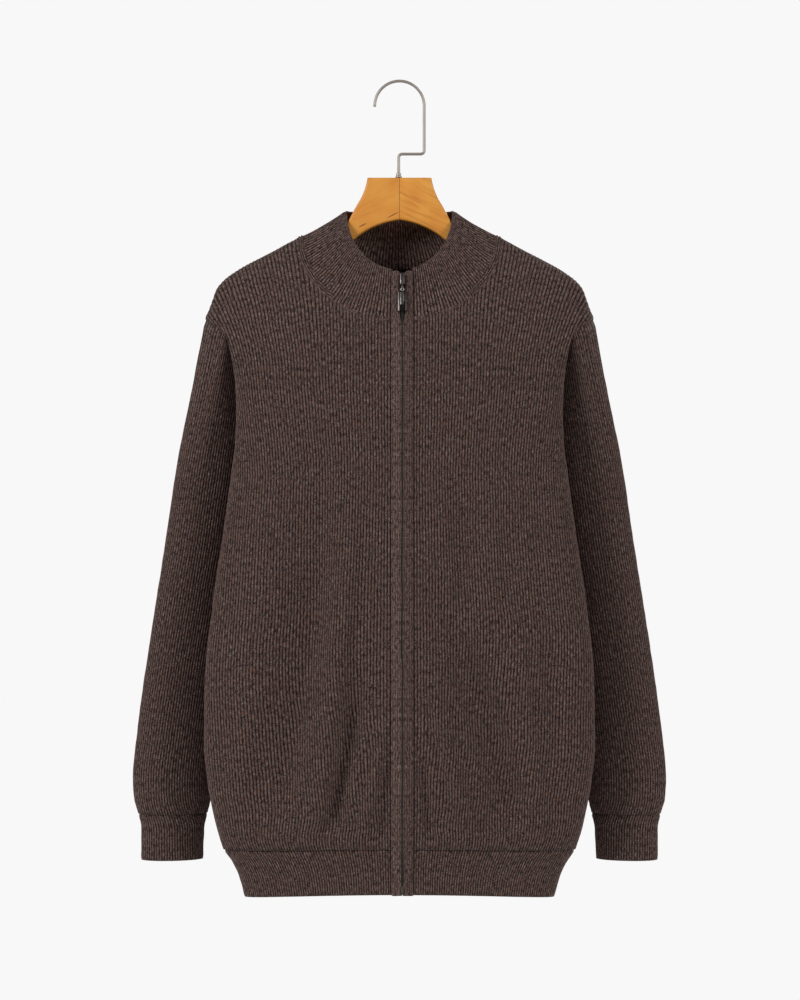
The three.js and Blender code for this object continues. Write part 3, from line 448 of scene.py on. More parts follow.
def melange_knit(name, groove, dark, light, pale, rust, groove_share, band):
    """Carded melange wool: dark, grey-beige and rust fibres spun together and knitted, matt with a
    soft bloom of fibre ends. U counts ribs and V runs up them in the same unit, 3.2 mm. The groove
    colour is painted shade, laid in the grooves between the ribs and along the edges of the courses."""
    made, tree = new_material(name)
    uv_node = add(tree, "UVMap", {"uv_map": "knit"})
    split = add(tree, "SeparateXYZ", _0=uv_node.outputs[0])
    u, v = split.outputs[0], split.outputs[1]

    def scaled(across, along, third):
        """Noise space with so many cells across a rib and along it."""
        wide = add(tree, "Math", {"operation": "MULTIPLY"}, _0=u, _1=across).outputs[0]
        tall = add(tree, "Math", {"operation": "MULTIPLY"}, _0=v, _1=along).outputs[0]
        return add(tree, "CombineXYZ", _0=wide, _1=tall, _2=third).outputs[0]
    # Distance from the top of the rib, 0 to 0.5 of the rib spacing.
    near = add(tree, "Math", {"operation": "PINGPONG"}, _0=u, _1=0.5).outputs[0]
    # Slubs: darker and lighter lengths of yarn, about 2 mm across and 5 mm long; real ones are finer
    # and would not show.
    slub = add(tree, "TexNoise", Vector=scaled(1.6, 0.62, 0.0), Scale=1.0, Detail=3.0, Roughness=0.6)
    # Fibres: streaks about 0.5 mm across and 1.5 mm long.
    streak = add(tree, "TexNoise", Vector=scaled(5.6, 2.4, 3.0), Scale=1.0, Detail=2.0, Roughness=0.6)
    mixed = add(tree, "Math", {"operation": "MULTIPLY_ADD"}, _0=streak.outputs[0], _1=0.55,
                _2=add(tree, "Math", {"operation": "MULTIPLY"}, _0=slub.outputs[0], _1=0.45).outputs[0])
    tone = add(tree, "ValToRGB", Fac=mixed.outputs[0])
    ramp = tone.color_ramp
    ramp.elements[0].position, ramp.elements[0].color = 0.5 - band, linear(dark)
    ramp.elements[1].position, ramp.elements[1].color = 0.5 + band, linear(light)
    # Wisps of rust and pale fibre, each a few millimetres long.
    wisp = add(tree, "TexNoise", Vector=scaled(1.5, 0.8, 7.0), Scale=1.3, Detail=2.0, Roughness=0.6,
               Distortion=0.6)
    rusty = add(tree, "MapRange", _0=wisp.outputs[0], _1=0.56, _2=0.70, _3=0.0, _4=0.6)
    paler = add(tree, "MapRange", _0=wisp.outputs[0], _1=0.42, _2=0.30, _3=0.0, _4=0.5)
    yarn = add(tree, "Mix", {"data_type": "RGBA"}, _0=rusty.outputs[0], _6=tone.outputs[0], _7=linear(rust))
    yarn = add(tree, "Mix", {"data_type": "RGBA"}, _0=paler.outputs[0], _6=yarn.outputs[2], _7=linear(pale))
    # Neps: sparse pale knots of fibre under 1 mm across.
    nep = add(tree, "TexVoronoi", {"feature": "F1"}, Vector=uv_node.outputs[0], Scale=0.34)
    knot = add(tree, "MapRange", _0=nep.outputs[0], _1=0.08, _2=0.04, _3=0.0, _4=0.6)
    yarn = add(tree, "Mix", {"data_type": "RGBA"}, _0=knot.outputs[0], _6=yarn.outputs[2],
               _7=linear("7b6f69"))
    # Stitches: two legs of a V on each rib, a course every 1.7 mm.
    leg = add(tree, "Math", {"operation": "MULTIPLY_ADD"}, _0=near, _1=1.7,
              _2=add(tree, "Math", {"operation": "MULTIPLY"}, _0=v, _1=RIB / 1.7).outputs[0])
    course = add(tree, "Math", {"operation": "PINGPONG"}, _0=leg.outputs[0], _1=0.5)
    # The grooves between the ribs are painted darker with the groove colour: painted shade. The
    # painted shade is lighter here and there, where they fill up with fibre.
    full = add(tree, "MapRange", _0=slub.outputs[0], _1=0.45, _2=0.65, _3=groove_share, _4=groove_share * 0.7)
    painted_groove_shade = add(tree, "MapRange", {"interpolation_type": "SMOOTHSTEP"}, _0=near, _1=0.18, _2=0.42, _3=0.0,
               _4=full.outputs[0])
    colour = add(tree, "Mix", {"data_type": "RGBA"}, _0=painted_groove_shade.outputs[0], _6=yarn.outputs[2],
                 _7=linear(groove))
    # Painted shade along the edges of each course of stitches, in the groove colour.
    loops = add(tree, "MapRange", _0=course.outputs[0], _1=0.0, _2=0.22, _3=0.28, _4=0.0)
    colour = add(tree, "Mix", {"data_type": "RGBA"}, _0=loops.outputs[0], _6=colour.outputs[2],
                 _7=linear(groove))
    fluff = add(tree, "TexNoise", Vector=scaled(16.0, 7.0, 1.0), Scale=1.0, Detail=3.0, Roughness=0.7)
    height = add(tree, "Math", {"operation": "MULTIPLY_ADD"}, _0=course.outputs[0], _1=0.9,
                 _2=fluff.outputs[0])
    bump = add(tree, "Bump", Strength=0.75, Distance=0.0005, Height=height.outputs[0])
    shader = add(tree, "BsdfPrincipled", Base_Color=colour.outputs[2], Roughness=0.95, Normal=bump.outputs[0])
    shader.inputs["IOR"].default_value = 1.45
    shader.inputs["Specular IOR Level"].default_value = 0.15
    shader.inputs["Sheen Weight"].default_value = 0.3
    shader.inputs["Sheen Roughness"].default_value = 0.5
    shader.inputs["Sheen Tint"].default_value = linear("a08f86")
    finish_material(tree, shader)
    return made


# The first colour given is the painted shade in the grooves and between the courses.
rib_wool = melange_knit("rib_knit_melange_wool", "0d0807", "130b0a", "6f5b56", "9a8a84", "7d4a30",
                        0.93, 0.068)
# The collar's copy of the wool has lighter yarn on its rib crests as painted highlight, and darker, wider
# grooves as painted shade.
collar_wool = melange_knit("collar_knit_melange_wool", "0a0605", "130b0a", "745f5a", "a3938c",
                           "7a4830", 0.97, 0.055)


def dress(piece, nodes, material):
    """Gives a piece its finish, its body and the plain solids that it stands for."""
    piece.data.materials.clear()
    piece.data.materials.append(material)
    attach(piece, "garment")
    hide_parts(*nodes)


SEAM_STEPS = 240
CROWN_ROWS = 18      # courses above the yoke
for side, word in ((1, "left"), (-1, "right")):
    body, u, same = front_body(side)
    turn = np.linspace(0, np.pi / 2, 2000)
    reach = neck_point(turn, GAP)
    start = np.interp(PLACKET_EDGE + side * ZIP_X + GAP, reach[:, 0], turn)
    neck = neck_point(side * np.linspace(start, np.pi / 2, SEAM_STEPS), GAP)
    seam = np.concatenate([neck[:-1], ridge(side)])
    top = crown(body[-1], seam, front_y, CROWN_ROWS)
    top[-1][:, 1] -= GAP / 2
    grid, u, same = (np.array(part + [part[-1]] * CROWN_ROWS) for part in (body, u, same))
    grid[-CROWN_ROWS:] = top
    panel = knit(f"front_{word}_rib_panel", grid, u, side < 0, 11 + side, same, (-0.6, 0.5, 0.3, 0.5),
                 np.abs(top[-1][:, 0]) > NECK_HALF)
    dress(panel, [f"front_{word}"], rib_wool)


# ---- back ----
# One panel of the same rib, from the hem band up to the collar and the two shoulder seams.
BACK_RIBS = 122


def back_row(z):
    edge = back_seam(np.array(z))[0] + 1.2      # it runs on a little way inside the fronts
    x = edge * np.sin(np.linspace(-np.pi / 2, np.pi / 2, 300))
    return lowered(x, back_y(x, np.full_like(x, z)), np.full_like(x, z))


levels = np.append(np.linspace(BODY_BOTTOM, -360, 56), np.linspace(-350, YOKE, 11))
body = [even_row(back_row(z), BACK_RIBS * PER_RIB) for z in levels]
nape = neck_point(np.pi * np.linspace(1.5, 0.5, SEAM_STEPS), GAP)
seam = np.concatenate([ridge(-1)[::-1], nape[1:-1], ridge(1)])
top = crown(body[-1], seam, back_y, 16)
top[-1][0] = seam[0]
top[-1][:, 1] += GAP / 2
back_u = np.arange(BACK_RIBS * PER_RIB + 1) / PER_RIB
panel = knit("back_rib_panel", np.array(body + top), back_u, True, 31, None, (-0.6, 0.5, 0.5, 0.5),
             np.abs(top[-1][:, 0]) > NECK_HALF)
dress(panel, ["back"], rib_wool)


# ---- hem bands ----
# Rib bands linked to the lower edge of the back and the two fronts; they draw the hem in.
HEM_LEVELS = np.linspace(-886, BODY_BOTTOM + 0.5, 14)    # the top is linked in behind the panels
front_u = np.arange(FRONT_RIBS * PER_RIB + 1) / PER_RIB
for side, word in ((1, "left"), (-1, "right")):
    grid = np.array([even_row(front_row(z, side), FRONT_RIBS * PER_RIB) for z in HEM_LEVELS])
    band = knit(f"hem_front_{word}_band", grid, front_u, side < 0, 51 + side, None, (0.3, 1.7, 0.35, 0.5))
    dress(band, [f"hem_front_{word}"], rib_wool)
grid = np.array([even_row(back_row(z), BACK_RIBS * PER_RIB, GAP / 2) for z in HEM_LEVELS])
band = knit("hem_back_band", grid, back_u, True, 57, None, (0.3, 1.7, 0.5, 0.5))
dress(band, ["hem_back"], rib_wool)


# ---- sleeves and cuffs ----
# Set-in sleeves, each one rib piece closed by a seam under the arm, ending in a rib cuff band.
sleeve = smooth_table(["outer", "inner", "middle_y", "thick", "turn"], [
    [-441, 250, 163, 33, 32, 30], [-503, 259, 170, 35, 31, 29], [-569, 269.5, 181, 36, 30, 27],
    [-657, 283, 194, 35, 29, 24], [-723, 291.5, 201, 33, 28, 20], [-767, 295.4, 205, 30, 27, 16],
    [-789, 294, 209, 27, 26, 14], [-806, 289.5, 213, 26, 24, 12], [-822, 286, 216.5, 25, 22, 12],
    [-857, 286, 218, 25, 21, 12]])
SLEEVE_TOP, CUFF_TOP, CUFF_BOTTOM = -441.0, -806.0, -857.0
UNDERARM = math.radians(150)
ARMHOLE = [SHOULDER_POINT, YOKE, -273, -281, -297, -315, -340, -370, -400, ARMPIT]
SLEEVE_RIB = 2.95        # mm from rib to rib


def sleeve_ring(z, side, angle):
    turn = math.radians(float(sleeve["turn"](z)))
    thick = sleeve["thick"](z)
    half = (sleeve["outer"](z) - sleeve["inner"](z)) / 2
    long = np.sqrt(half**2 - (thick * math.sin(turn)) ** 2) / math.cos(turn)
    along, across = long * np.cos(angle), thick * np.sin(angle)
    x = (sleeve["outer"](z) + sleeve["inner"](z)) / 2 + along * math.cos(turn) - across * math.sin(turn)
    y = sleeve["middle_y"](z) - along * math.sin(turn) - across * math.cos(turn)
    return np.stack([side * x, y, np.full_like(x, z)], -1)


def ring_angles(z, ahead, behind):
    """Angles of the ribs round the sleeve. They keep their spacing from its outer side both ways and
    end one after another at the seam under the arm as it narrows."""
    fine = np.linspace(UNDERARM - 2 * np.pi, UNDERARM, 900)
    run = lengths(sleeve_ring(z, 1, fine))
    at = np.arange(-behind, ahead + 1) * SLEEVE_RIB / PER_RIB + np.interp(0, fine, run)
    first, last = np.interp([0, run[-1]], at, np.arange(len(at)))
    columns = np.clip(np.arange(len(at)), first, last)
    weld = np.clip(np.arange(len(at)), math.floor(first + 1e-6), math.ceil(last - 1e-6))
    weld[weld == weld[-1]] = weld[0]
    return np.interp(np.clip(at, 0, run[-1]), run, fine), columns / PER_RIB, weld


def armhole(side, angle):
    """The armhole seam where a rib at this angle round the sleeve reaches it."""
    ahead = angle <= UNDERARM
    step = np.where(ahead, angle / UNDERARM, (2 * np.pi - angle) / (2 * np.pi - UNDERARM)) * 9
    z = np.interp(step, np.arange(10), ARMHOLE)
    wrap = front["seam_y"](z) - front_y(side * front["half"](z), z) > 1
    front_x = front["half"](z) - np.where(wrap, front["tuck"](z), 0)
    front_edge = np.where(wrap, front["seam_y"](z), front_y(side * front["half"](z), z))
    x = np.where(ahead, front_x, back_seam(z)[0])
    y = np.where(ahead, front_edge, back_y(side * back_seam(z)[0], z))
    first = np.clip(step, 0, 1)
    yoke_x, yoke_y = np.where(ahead, 205.0, 210.0), np.where(
        ahead, front_y(side * 205.0, np.array(YOKE)), back_y(side * 210.0, np.array(YOKE)))
    x = np.where(step < 1, SHOULDER_HALF + (yoke_x - SHOULDER_HALF) * first, x)
    y = np.where(step < 1, yoke_y * first, y)
    return np.stack([side * x, y, z], -1)


fine = np.linspace(UNDERARM - 2 * np.pi, UNDERARM, 900)
widest = lengths(sleeve_ring(SLEEVE_TOP, 1, fine))
behind = math.ceil(np.interp(0, fine, widest) / SLEEVE_RIB * PER_RIB)
ahead = math.ceil((widest[-1] - np.interp(0, fine, widest)) / SLEEVE_RIB * PER_RIB)
for side, word in ((1, "left"), (-1, "right")):
    rows, u, same = [], [], []
    for z in np.linspace(CUFF_TOP, SLEEVE_TOP, 54):
        angle, count, weld = ring_angles(z, ahead, behind)
        rows.append(sleeve_ring(z, side, angle))
        u.append(count)
        same.append(weld)
    ring, below = rows[-1], sleeve_ring(SLEEVE_TOP - 20, side, angle)
    hole = armhole(side, angle % (2 * np.pi))
    span = hole - ring
    reach = np.linalg.norm(span, axis=1, keepdims=True)
    start = (ring - below) / np.linalg.norm(ring - below, axis=1, keepdims=True) * reach
    for t in np.linspace(0, 1, 25)[1:]:
        a, b, c = 2 * t**3 - 3 * t**2 + 1, t**3 - 2 * t**2 + t, t**3 - t**2
        rows.append(hole + span * (c - a) + start * b)
        u.append(count)
        same.append(weld)
    away = (ring - hole) / reach
    # The head runs on a little way inside the panels, most at the shoulder point.
    tip = smoothstep(hole[:, 2], -300, -262)
    rows[-1] = hole - away * (0.8 + 2 * tip)[:, None]
    rows[-1][:, 0] += side * (0.4 * smoothstep(-hole[:, 2], 340, 435) - 1.3 * tip)
    tube = knit(f"sleeve_{word}_rib_tube", np.array(rows), np.array(u), side > 0, 71 + side,
                np.array(same), (0.1, 0.7, 0, 0))
    dress(tube, [f"sleeve_{word}"], rib_wool)
    levels = np.linspace(CUFF_BOTTOM, CUFF_TOP + 0.6, 12)
    parts = [ring_angles(z, ahead, behind) for z in levels]
    rows = [sleeve_ring(z, side, part[0]) for z, part in zip(levels, parts)]
    u, same = (np.array([part[k] for part in parts]) for k in (1, 2))
    cuff = knit(f"cuff_{word}_band", np.array(rows), u, side > 0, 81 + side, same, (0.3, 1.4, 0, 0))
    dress(cuff, [f"cuff_{word}"], rib_wool)


# ---- collar ----
# A stand of the same rib, folded double over its top edge and linked to the neck with a corded
# seam; it stands open at the zip and leans against the hanger.
COLLAR_WALL = 4.0
COLLAR_RIBS = 152
TOP_Z, TOP_HALF, TOP_DROP, TOP_FRONT, TOP_BACK = -141.0, 60.0, 66.0, 47.0, 40.0
RIM_DROP, RIM_FRONT = 70.0, 48.7     # the knitted rim dips a little more at the zip


def collar_point(angle, t):
    ahead = np.cos(angle) > 0
    rim = np.stack([TOP_HALF * np.sin(angle), -np.cos(angle) * np.where(ahead, RIM_FRONT, TOP_BACK),
                    TOP_Z - np.where(ahead, RIM_DROP * np.cos(angle), 0)], -1)
    foot = neck_point(angle)
    point = foot + (rim - foot) * t
    point[:, 2] -= 10 * t * (1 - t) * np.sin(angle) ** 2
    return point


def collar_row(t):
    """One course of the collar from the left of the zip, round the back, to its right."""
    turn = np.linspace(0, np.pi / 2, 3000)
    across = collar_point(turn, t)[:, 0]
    left = np.interp(PLACKET_EDGE + ZIP_X + GAP, across, turn)
    right = np.interp(PLACKET_EDGE - ZIP_X + GAP, across, turn)
    fine = collar_point(np.linspace(left, 2 * np.pi - right, 3000), t)
    return spread(fine, np.linspace(0, lengths(fine)[-1], COLLAR_RIBS * PER_RIB + 1))


STAND = np.append(np.linspace(0, 0.13, 14), np.linspace(0.17, 1, 20))   # close together over the cords
grid = np.array([collar_row(t) for t in STAND])
rows, columns = grid.shape[:2]
normal = facing(grid, unwelded(grid))
run, wide = grid_run(grid, 0), grid_run(grid, 1)
left_over = run[-1] - run
depth = RIB_DEPTH * 1.2 * (1 + 0.2 * unevenness((rows, columns), (5, 60), 91))
ribs = 1 - np.abs(np.cos(np.pi * np.arange(columns) / PER_RIB)) ** 0.7
relief = -depth * ribs * (1 - 0.6 * near_edge(left_over, 2.5))
# Two cords run along the neck seam, plainest at the sides of the neck and lost towards the zip.
angle = np.linspace(0, 2 * np.pi, columns)
cord = smoothstep(np.abs(np.sin(angle)), 0.60, 0.80) * (1 + 0.15 * unevenness((1, columns), (1, 40), 92)[0])
band = smoothstep(run, 6.6, 5.2)
cords = 1.6 * (near_edge(run - 1.8, 1.15) + near_edge(run - 4.9, 1.15)) * cord - 1.1
relief = relief * (1 - band * cord) + (cords + 0.5) * band * cord
relief += 0.25 * unevenness((rows, columns), (6, 46), 93) * (1 - band)
outer = grid + normal * (relief - 0.9 * near_edge(left_over, 1.6))[..., None]
ends = near_edge(wide, 1.8) + near_edge(wide[:, -1:] - wide, 1.8)
outer -= normal * (1.1 * ends)[..., None]
lining = grid - normal * (COLLAR_WALL + relief - 0.9 * near_edge(left_over, 1.6))[..., None]
# The foot runs on a little way inside the panels, as the linked edge does.
down = grid[0] - grid[1]
down *= 1.5 / np.linalg.norm(down, axis=1, keepdims=True)
outer[0] += down
lining[0] += down
rolled = []
up = grid[-1] - grid[-2]
up /= np.linalg.norm(up, axis=1, keepdims=True)
for turn in np.linspace(0, np.pi, 9)[1:-1]:
    middle = (outer[-1] + lining[-1]) / 2
    half = (outer[-1] - lining[-1]) / 2
    rolled.append(middle + half * math.cos(turn) + up * math.sin(turn) * 1.9)
profile = np.concatenate([outer, np.array(rolled), lining[::-1]])
# The collar is one closed skin: up the outside, over the fold and down the inside.
steps, columns = profile.shape[:2]
around = np.concatenate([profile, profile[:1]])
loop_run = grid_run(around, 0)
index = np.arange(steps * columns).reshape(steps, columns)
after = np.roll(index, -1, 0)
faces = np.stack([index[:, :-1], index[:, 1:], after[:, 1:], after[:, :-1]], -1).reshape(-1, 4)
corded = np.zeros((steps, columns - 1), bool)
corded[:12] = (cord > 0.5)[None, :-1]
ends = [list(index[::-1, 0]), list(index[:, -1])]
mesh = bpy.data.meshes.new("collar_folded_rib")
mesh.from_pydata((profile.reshape(-1, 3) / 1000).tolist(), [], faces.tolist() + ends)
mesh.polygons.foreach_set("use_smooth", np.ones(len(mesh.polygons), bool))
knit_map = mesh.uv_layers.new(name="knit")
u = np.broadcast_to(np.arange(columns) / PER_RIB, (steps + 1, columns))
corners = np.stack([u, loop_run / RIB], -1)
quad = np.stack([corners[:-1, :-1], corners[:-1, 1:], corners[1:, 1:], corners[1:, :-1]], 2)
# On the cords the knit runs along the seam, so U crosses them and V follows it.
corners = np.stack([(loop_run - 1.8) / 3.1, wide[0] / RIB + 0 * loop_run], -1)
along_seam = np.stack([corners[:-1, :-1], corners[:-1, 1:], corners[1:, 1:], corners[1:, :-1]], 2)
quad = np.where(corded[..., None, None], along_seam, quad).reshape(-1, 2)
flat = np.zeros((len(mesh.loops), 2))
flat[:len(quad)] = quad
knit_map.data.foreach_set("uv", flat.ravel())
mesh.validate()
collar = placed("collar_folded_rib", mesh)
dress(collar, ["collar"], collar_wool)


# ---- plackets ----
# Plain stockinette strips knitted in with the fronts, folded over the zip tape and stitched down;
# the stitching puckers their outer edges.
PLACKET_TOP, PLACKET_FOOT = -210.8, -886.5
PLAIN_WALE = 2.6     # mm from wale to wale of the plain knit, drawn as coarse as it needs to show
# The wearer's right placket's wool is lighter than the left's in every colour: painted light, where more
# light falls on that side.
plain_wool = {side: melange_knit(f"plain_knit_wool_painted_side_light_{word}", "120b0a", dark, light, pale, "744731", 0.6, 0.052)
              for side, word, dark, light, pale in ((-1, "right", "1c1210", "77625d", "9a8a84"),
                                                    (1, "left", "170f0e", "6a5651", "887974"))}
neck_front_z = NECK_Z - NECK_FALL


def middle_y(z):
    """Where the middle of the front and of the collar lies in depth."""
    t = (z - neck_front_z) / (TOP_Z - TOP_DROP - neck_front_z)
    low = -front["depth"](np.minimum(z, neck_front_z))
    return low + np.clip(t, 0, 1) * (front["depth"](neck_front_z) - TOP_FRONT)


for side, word in ((1, "left"), (-1, "right")):
    z = np.linspace(PLACKET_FOOT, PLACKET_TOP, 420)
    count = 24
    t = np.linspace(0, 1, count)
    inside = 0.75 + 2.05 * smoothstep(z, -270, -258)
    inside += 0.5 * smoothstep(z, -838, -842) * smoothstep(z, -882, -876)
    inside -= 0.55 * smoothstep(-z, 880, 886)
    wobble = 0.8 * unevenness((len(z), 1), (24, 1), 101)[:, 0] * side
    pucker = unevenness((len(z), 1), (84, 1), 103 + side)[:, 0]
    inner_x = inside + wobble * smoothstep(-z, 268, 300) * smoothstep(z, -880, -850)
    outer_x = PLACKET_EDGE + 1.3 - 0.9 * np.clip(pucker, 0, 1)
    corner = 3.2 * (1 - np.sqrt(1 - np.clip((z - PLACKET_TOP + 3.2) / 3.25, 0, 1) ** 2))
    inner_x, outer_x = inner_x + corner, outer_x - corner
    x = inner_x[:, None] + (outer_x - inner_x)[:, None] * (1 - np.cos(np.pi * t)) / 2
    rise = bulge((t - 0.5)[None, :] * np.ones((len(z), 1)), 0.5001, 2.3)
    top = smoothstep(z, PLACKET_TOP, PLACKET_TOP - 6)[:, None]
    swell = 1.6 + 0.3 * unevenness((len(z), count), (60, 2), 105 + side)
    lumps = (0.6 * unevenness((len(z), count), (300, 6), 107 + side)
             + 0.25 * unevenness((len(z), count), (130, 5), 109))
    y = middle_y(z)[:, None] + 1.9 - 0.8 * t - (1.5 + swell * 1.05 + lumps) * rise * (0.3 + 0.7 * top)
    dent = np.clip(pucker, 0, 1)[:, None] * near_edge(t - 0.86, 0.14)[None, :]
    y += 0.95 * dent
    grid = np.stack([ZIP_X + side * x, y, np.broadcast_to(z[:, None], x.shape)], -1)
    normal = facing(grid, unwelded(grid)) * side
    around = lengths(grid[200])
    uv_map = np.stack([np.broadcast_to(around / PLAIN_WALE, x.shape),
                       np.broadcast_to(z[:, None] / RIB, x.shape)], -1)
    strip = walled(f"placket_{word}_facing", grid, grid - normal * 1.3, unwelded(grid), side < 0, uv_map)
    dress(strip, [f"placket_{word}"], plain_wool[side])


# ---- zip tapes ----
# Woven polyester tape behind each placket, dyed dark brown, with the teeth along its edge.
tape_cloth, tree = new_material("woven_polyester_tape")
place = add(tree, "TexCoord")
weave = add(tree, "TexWave", {"wave_type": "BANDS", "bands_direction": "Z"}, Vector=place.outputs["Object"],
            Scale=520.0, Distortion=0.6)   # a pick every 0.6 mm
shade = add(tree, "ValToRGB", Fac=weave.outputs[0])
shade.color_ramp.elements[0].color = linear("14110f")
shade.color_ramp.elements[1].color = linear("2b2623")
bump = add(tree, "Bump", Strength=0.4, Distance=0.0002, Height=weave.outputs[0])
shader = add(tree, "BsdfPrincipled", Base_Color=shade.outputs[0], Roughness=0.8, Normal=bump.outputs[0])
finish_material(tree, shader)
for side, word in ((1, "left"), (-1, "right")):
    z = np.linspace(-886.2, -213, 120)
    x = np.linspace(0.15, 10.2, 8)
    y = middle_y(z)[:, None] + 2.85 + 0.05 * np.cos(x)[None, :]
    grid = np.stack([ZIP_X + side * np.broadcast_to(x, y.shape), y, np.broadcast_to(z[:, None], y.shape)], -1)
    normal = facing(grid, unwelded(grid)) * side
    uv_map = np.stack([grid[..., 0], grid[..., 2]], -1) / RIB
    tape = walled(f"zip_tape_{word}_woven", grid, grid - normal * 0.8, unwelded(grid), side < 0, uv_map)
    dress(tape, [f"zip_tape_{word}"], tape_cloth)


# ---- zip teeth ----
# Closed metal teeth clamped on the tape edges, plated dark; each has a small bright top edge.
def metal_finish(name, dark, light, rough):
    """Plated metal with a faint smear across it, 1 mm from smear to smear."""
    made, tree = new_material(name)
    place = add(tree, "TexCoord")
    smear = add(tree, "TexNoise", Vector=place.outputs["Object"], Scale=900.0, Detail=3.0)
    tint = add(tree, "ValToRGB", Fac=smear.outputs[0])
    tint.color_ramp.elements[0].color, tint.color_ramp.elements[1].color = linear(dark), linear(light)
    worn = add(tree, "MapRange", _0=smear.outputs[0], _1=0.3, _2=0.7, _3=rough - 0.07, _4=rough + 0.07)
    shader = add(tree, "BsdfPrincipled", Base_Color=tint.outputs[0], Roughness=worn.outputs[0], Metallic=1.0)
    finish_material(tree, shader)
    return made


dark_metal = metal_finish("black_oxidised_brass", "161714", "4a4b46", 0.35)
TOOTH_PITCH = 1.9
bpy.ops.object.select_all(action="DESELECT")
bpy.ops.mesh.primitive_cube_add(size=1, location=(0, 0, 0))
tooth = bpy.context.object
tooth.dimensions = (0.0030, 0.0016, 0.0010)
bpy.ops.object.transform_apply(location=False, rotation=False, scale=True)
bevel = tooth.modifiers.new("rounded", "BEVEL")
bevel.width, bevel.segments = 0.00022, 1
bpy.ops.object.modifier_apply(modifier=bevel.name)
shape = np.array([v.co[:] for v in tooth.data.vertices])
tooth_faces = [list(p.vertices) for p in tooth.data.polygons]
bpy.data.objects.remove(tooth)
points, faces = [], []
for k, z in enumerate(np.arange(-878, -228, TOOTH_PITCH / 2)):
    side = 1 if k % 2 else -1
    centre = np.array([ZIP_X + side * 0.55, float(middle_y(z)) + 1.75, z]) / 1000
    faces += [[i + len(points) for i in face] for face in tooth_faces]
    points += (shape + centre).tolist()
mesh = bpy.data.meshes.new("zip_teeth")
mesh.from_pydata(points, [], faces)
teeth = placed("zip_teeth", mesh)
teeth.data.materials.append(dark_metal)
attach(teeth, "garment")


# ---- slider, pull tab and bottom box ----
# Die-cast zinc, gunmetal plated and tumbled. Its raised rails are painted bright as painted highlight,
# those on the wearer's right brighter than those on the left as painted light, and its recesses are
# painted black as painted shade. The crown is a loop of two rails with a bar at its foot; the tab hangs on
# that bar.
LEAN_BACK = math.atan((front["depth"](neck_front_z) - TOP_FRONT) / (TOP_Z - TOP_DROP - neck_front_z))
SLIDER_Z, CROWN_FRONT, PIN_OUT, PIN_DOWN = -221.5, 4.4, 3.3, 4.7
painted_highlight_rail, middle_rail, painted_shade_rail, painted_shade_recess = (
    metal_finish(name, dark, light, rough) for name, dark, light, rough in (
        ("gunmetal_painted_highlight", "6c6865", "827d79", 0.3), ("gunmetal_face", "3d3a37", "4f4b47", 0.36),
        ("gunmetal_in_shade", "35322f", "46433f", 0.4), ("gunmetal_painted_dark_recess", "100f0e", "1c1a19", 0.5)))


def block(x0, x1, y0, y1, z0, z1, round_by, material):
    """A cast block between these faces, in millimetres, its edges tumbled round."""
    bpy.ops.object.select_all(action="DESELECT")
    middle = ((x0 + x1) / 2000, (y0 + y1) / 2000, (z0 + z1) / 2000)
    bpy.ops.mesh.primitive_cube_add(size=1, location=middle)
    made = bpy.context.object
    made.dimensions = ((x1 - x0) / 1000, (y1 - y0) / 1000, (z1 - z0) / 1000)
    bpy.ops.object.transform_apply(location=True, rotation=True, scale=True)
    rounding = made.modifiers.new("tumbled edge", "BEVEL")
    rounding.width, rounding.segments = round_by / 1000, 3
    bpy.ops.object.modifier_apply(modifier=rounding.name)
    made.data.materials.append(material)
    return made


def ring(outer, wire, x, y, z, facing_front, material):
    bpy.ops.object.select_all(action="DESELECT")
    turn = (math.pi / 2, 0, 0) if facing_front else (0, math.pi / 2, 0)
    bpy.ops.mesh.primitive_torus_add(
        location=(x / 1000, y / 1000, z / 1000), rotation=turn, major_segments=32,
        minor_segments=12, major_radius=(outer - wire) / 1000, minor_radius=wire / 1000)
    made = bpy.context.object
    bpy.ops.object.transform_apply(location=True, rotation=True, scale=True)
    made.data.materials.append(material)
    return made


def cast(parts, name, body, node, place):
    """Joins the parts of a casting and sets it where it hangs, its own place at the origin."""
    bpy.ops.object.select_all(action="DESELECT")
    for part in parts:
        part.select_set(True)
    bpy.context.view_layer.objects.active = parts[0]
    bpy.ops.object.join()
    made = bpy.context.object
    made.name = name
    made.data.transform(place)
    bpy.ops.object.shade_smooth_by_angle(angle=math.radians(40))
    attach(made, body)
    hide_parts(node)
    return made


hang = (Matrix.Translation((ZIP_X / 1000, (float(middle_y(SLIDER_Z)) - 1) / 1000, SLIDER_Z / 1000))
        @ Matrix.Rotation(-LEAN_BACK, 4, "X"))
# Crown: the rail on the wearer's right is painted highlight; the body behind, the top bar and the right half
# of the middle bar are painted shade.
crown_parts = [
    block(-2.75, 2.75, 0.1, 3.2, -5.5, 5.5, 0.9, painted_shade_recess),
    block(-2.35, -1.15, -CROWN_FRONT, 0.4, -6, 6, 0.45, painted_highlight_rail),
    block(1.3, 2.35, -CROWN_FRONT + 0.2, 0.4, -6, 6, 0.45, middle_rail),
    block(-2.3, 2.3, -CROWN_FRONT + 0.9, 0.4, 4.6, 5.9, 0.5, painted_shade_recess),
    block(-0.75, -0.2, -CROWN_FRONT + 0.9, -0.2, -4.2, 5, 0.2, painted_shade_recess),
    block(-0.2, 0.75, -CROWN_FRONT + 0.9, -0.2, -4.2, 5, 0.25, middle_rail)]
bpy.ops.object.select_all(action="DESELECT")
bpy.ops.mesh.primitive_cylinder_add(radius=0.00072, depth=0.004, vertices=20, rotation=(0, math.pi / 2, 0),
                                    location=(0, -PIN_OUT / 1000, -PIN_DOWN / 1000))
bpy.ops.object.transform_apply(location=True, rotation=True, scale=True)
bpy.context.object.data.materials.append(middle_rail)
crown_parts.append(bpy.context.object)
cast(crown_parts, "zip_slider_cast", "garment", "zip_slider", hang)
EYE_Z, PLATE_TOP = -7.0, -10.1
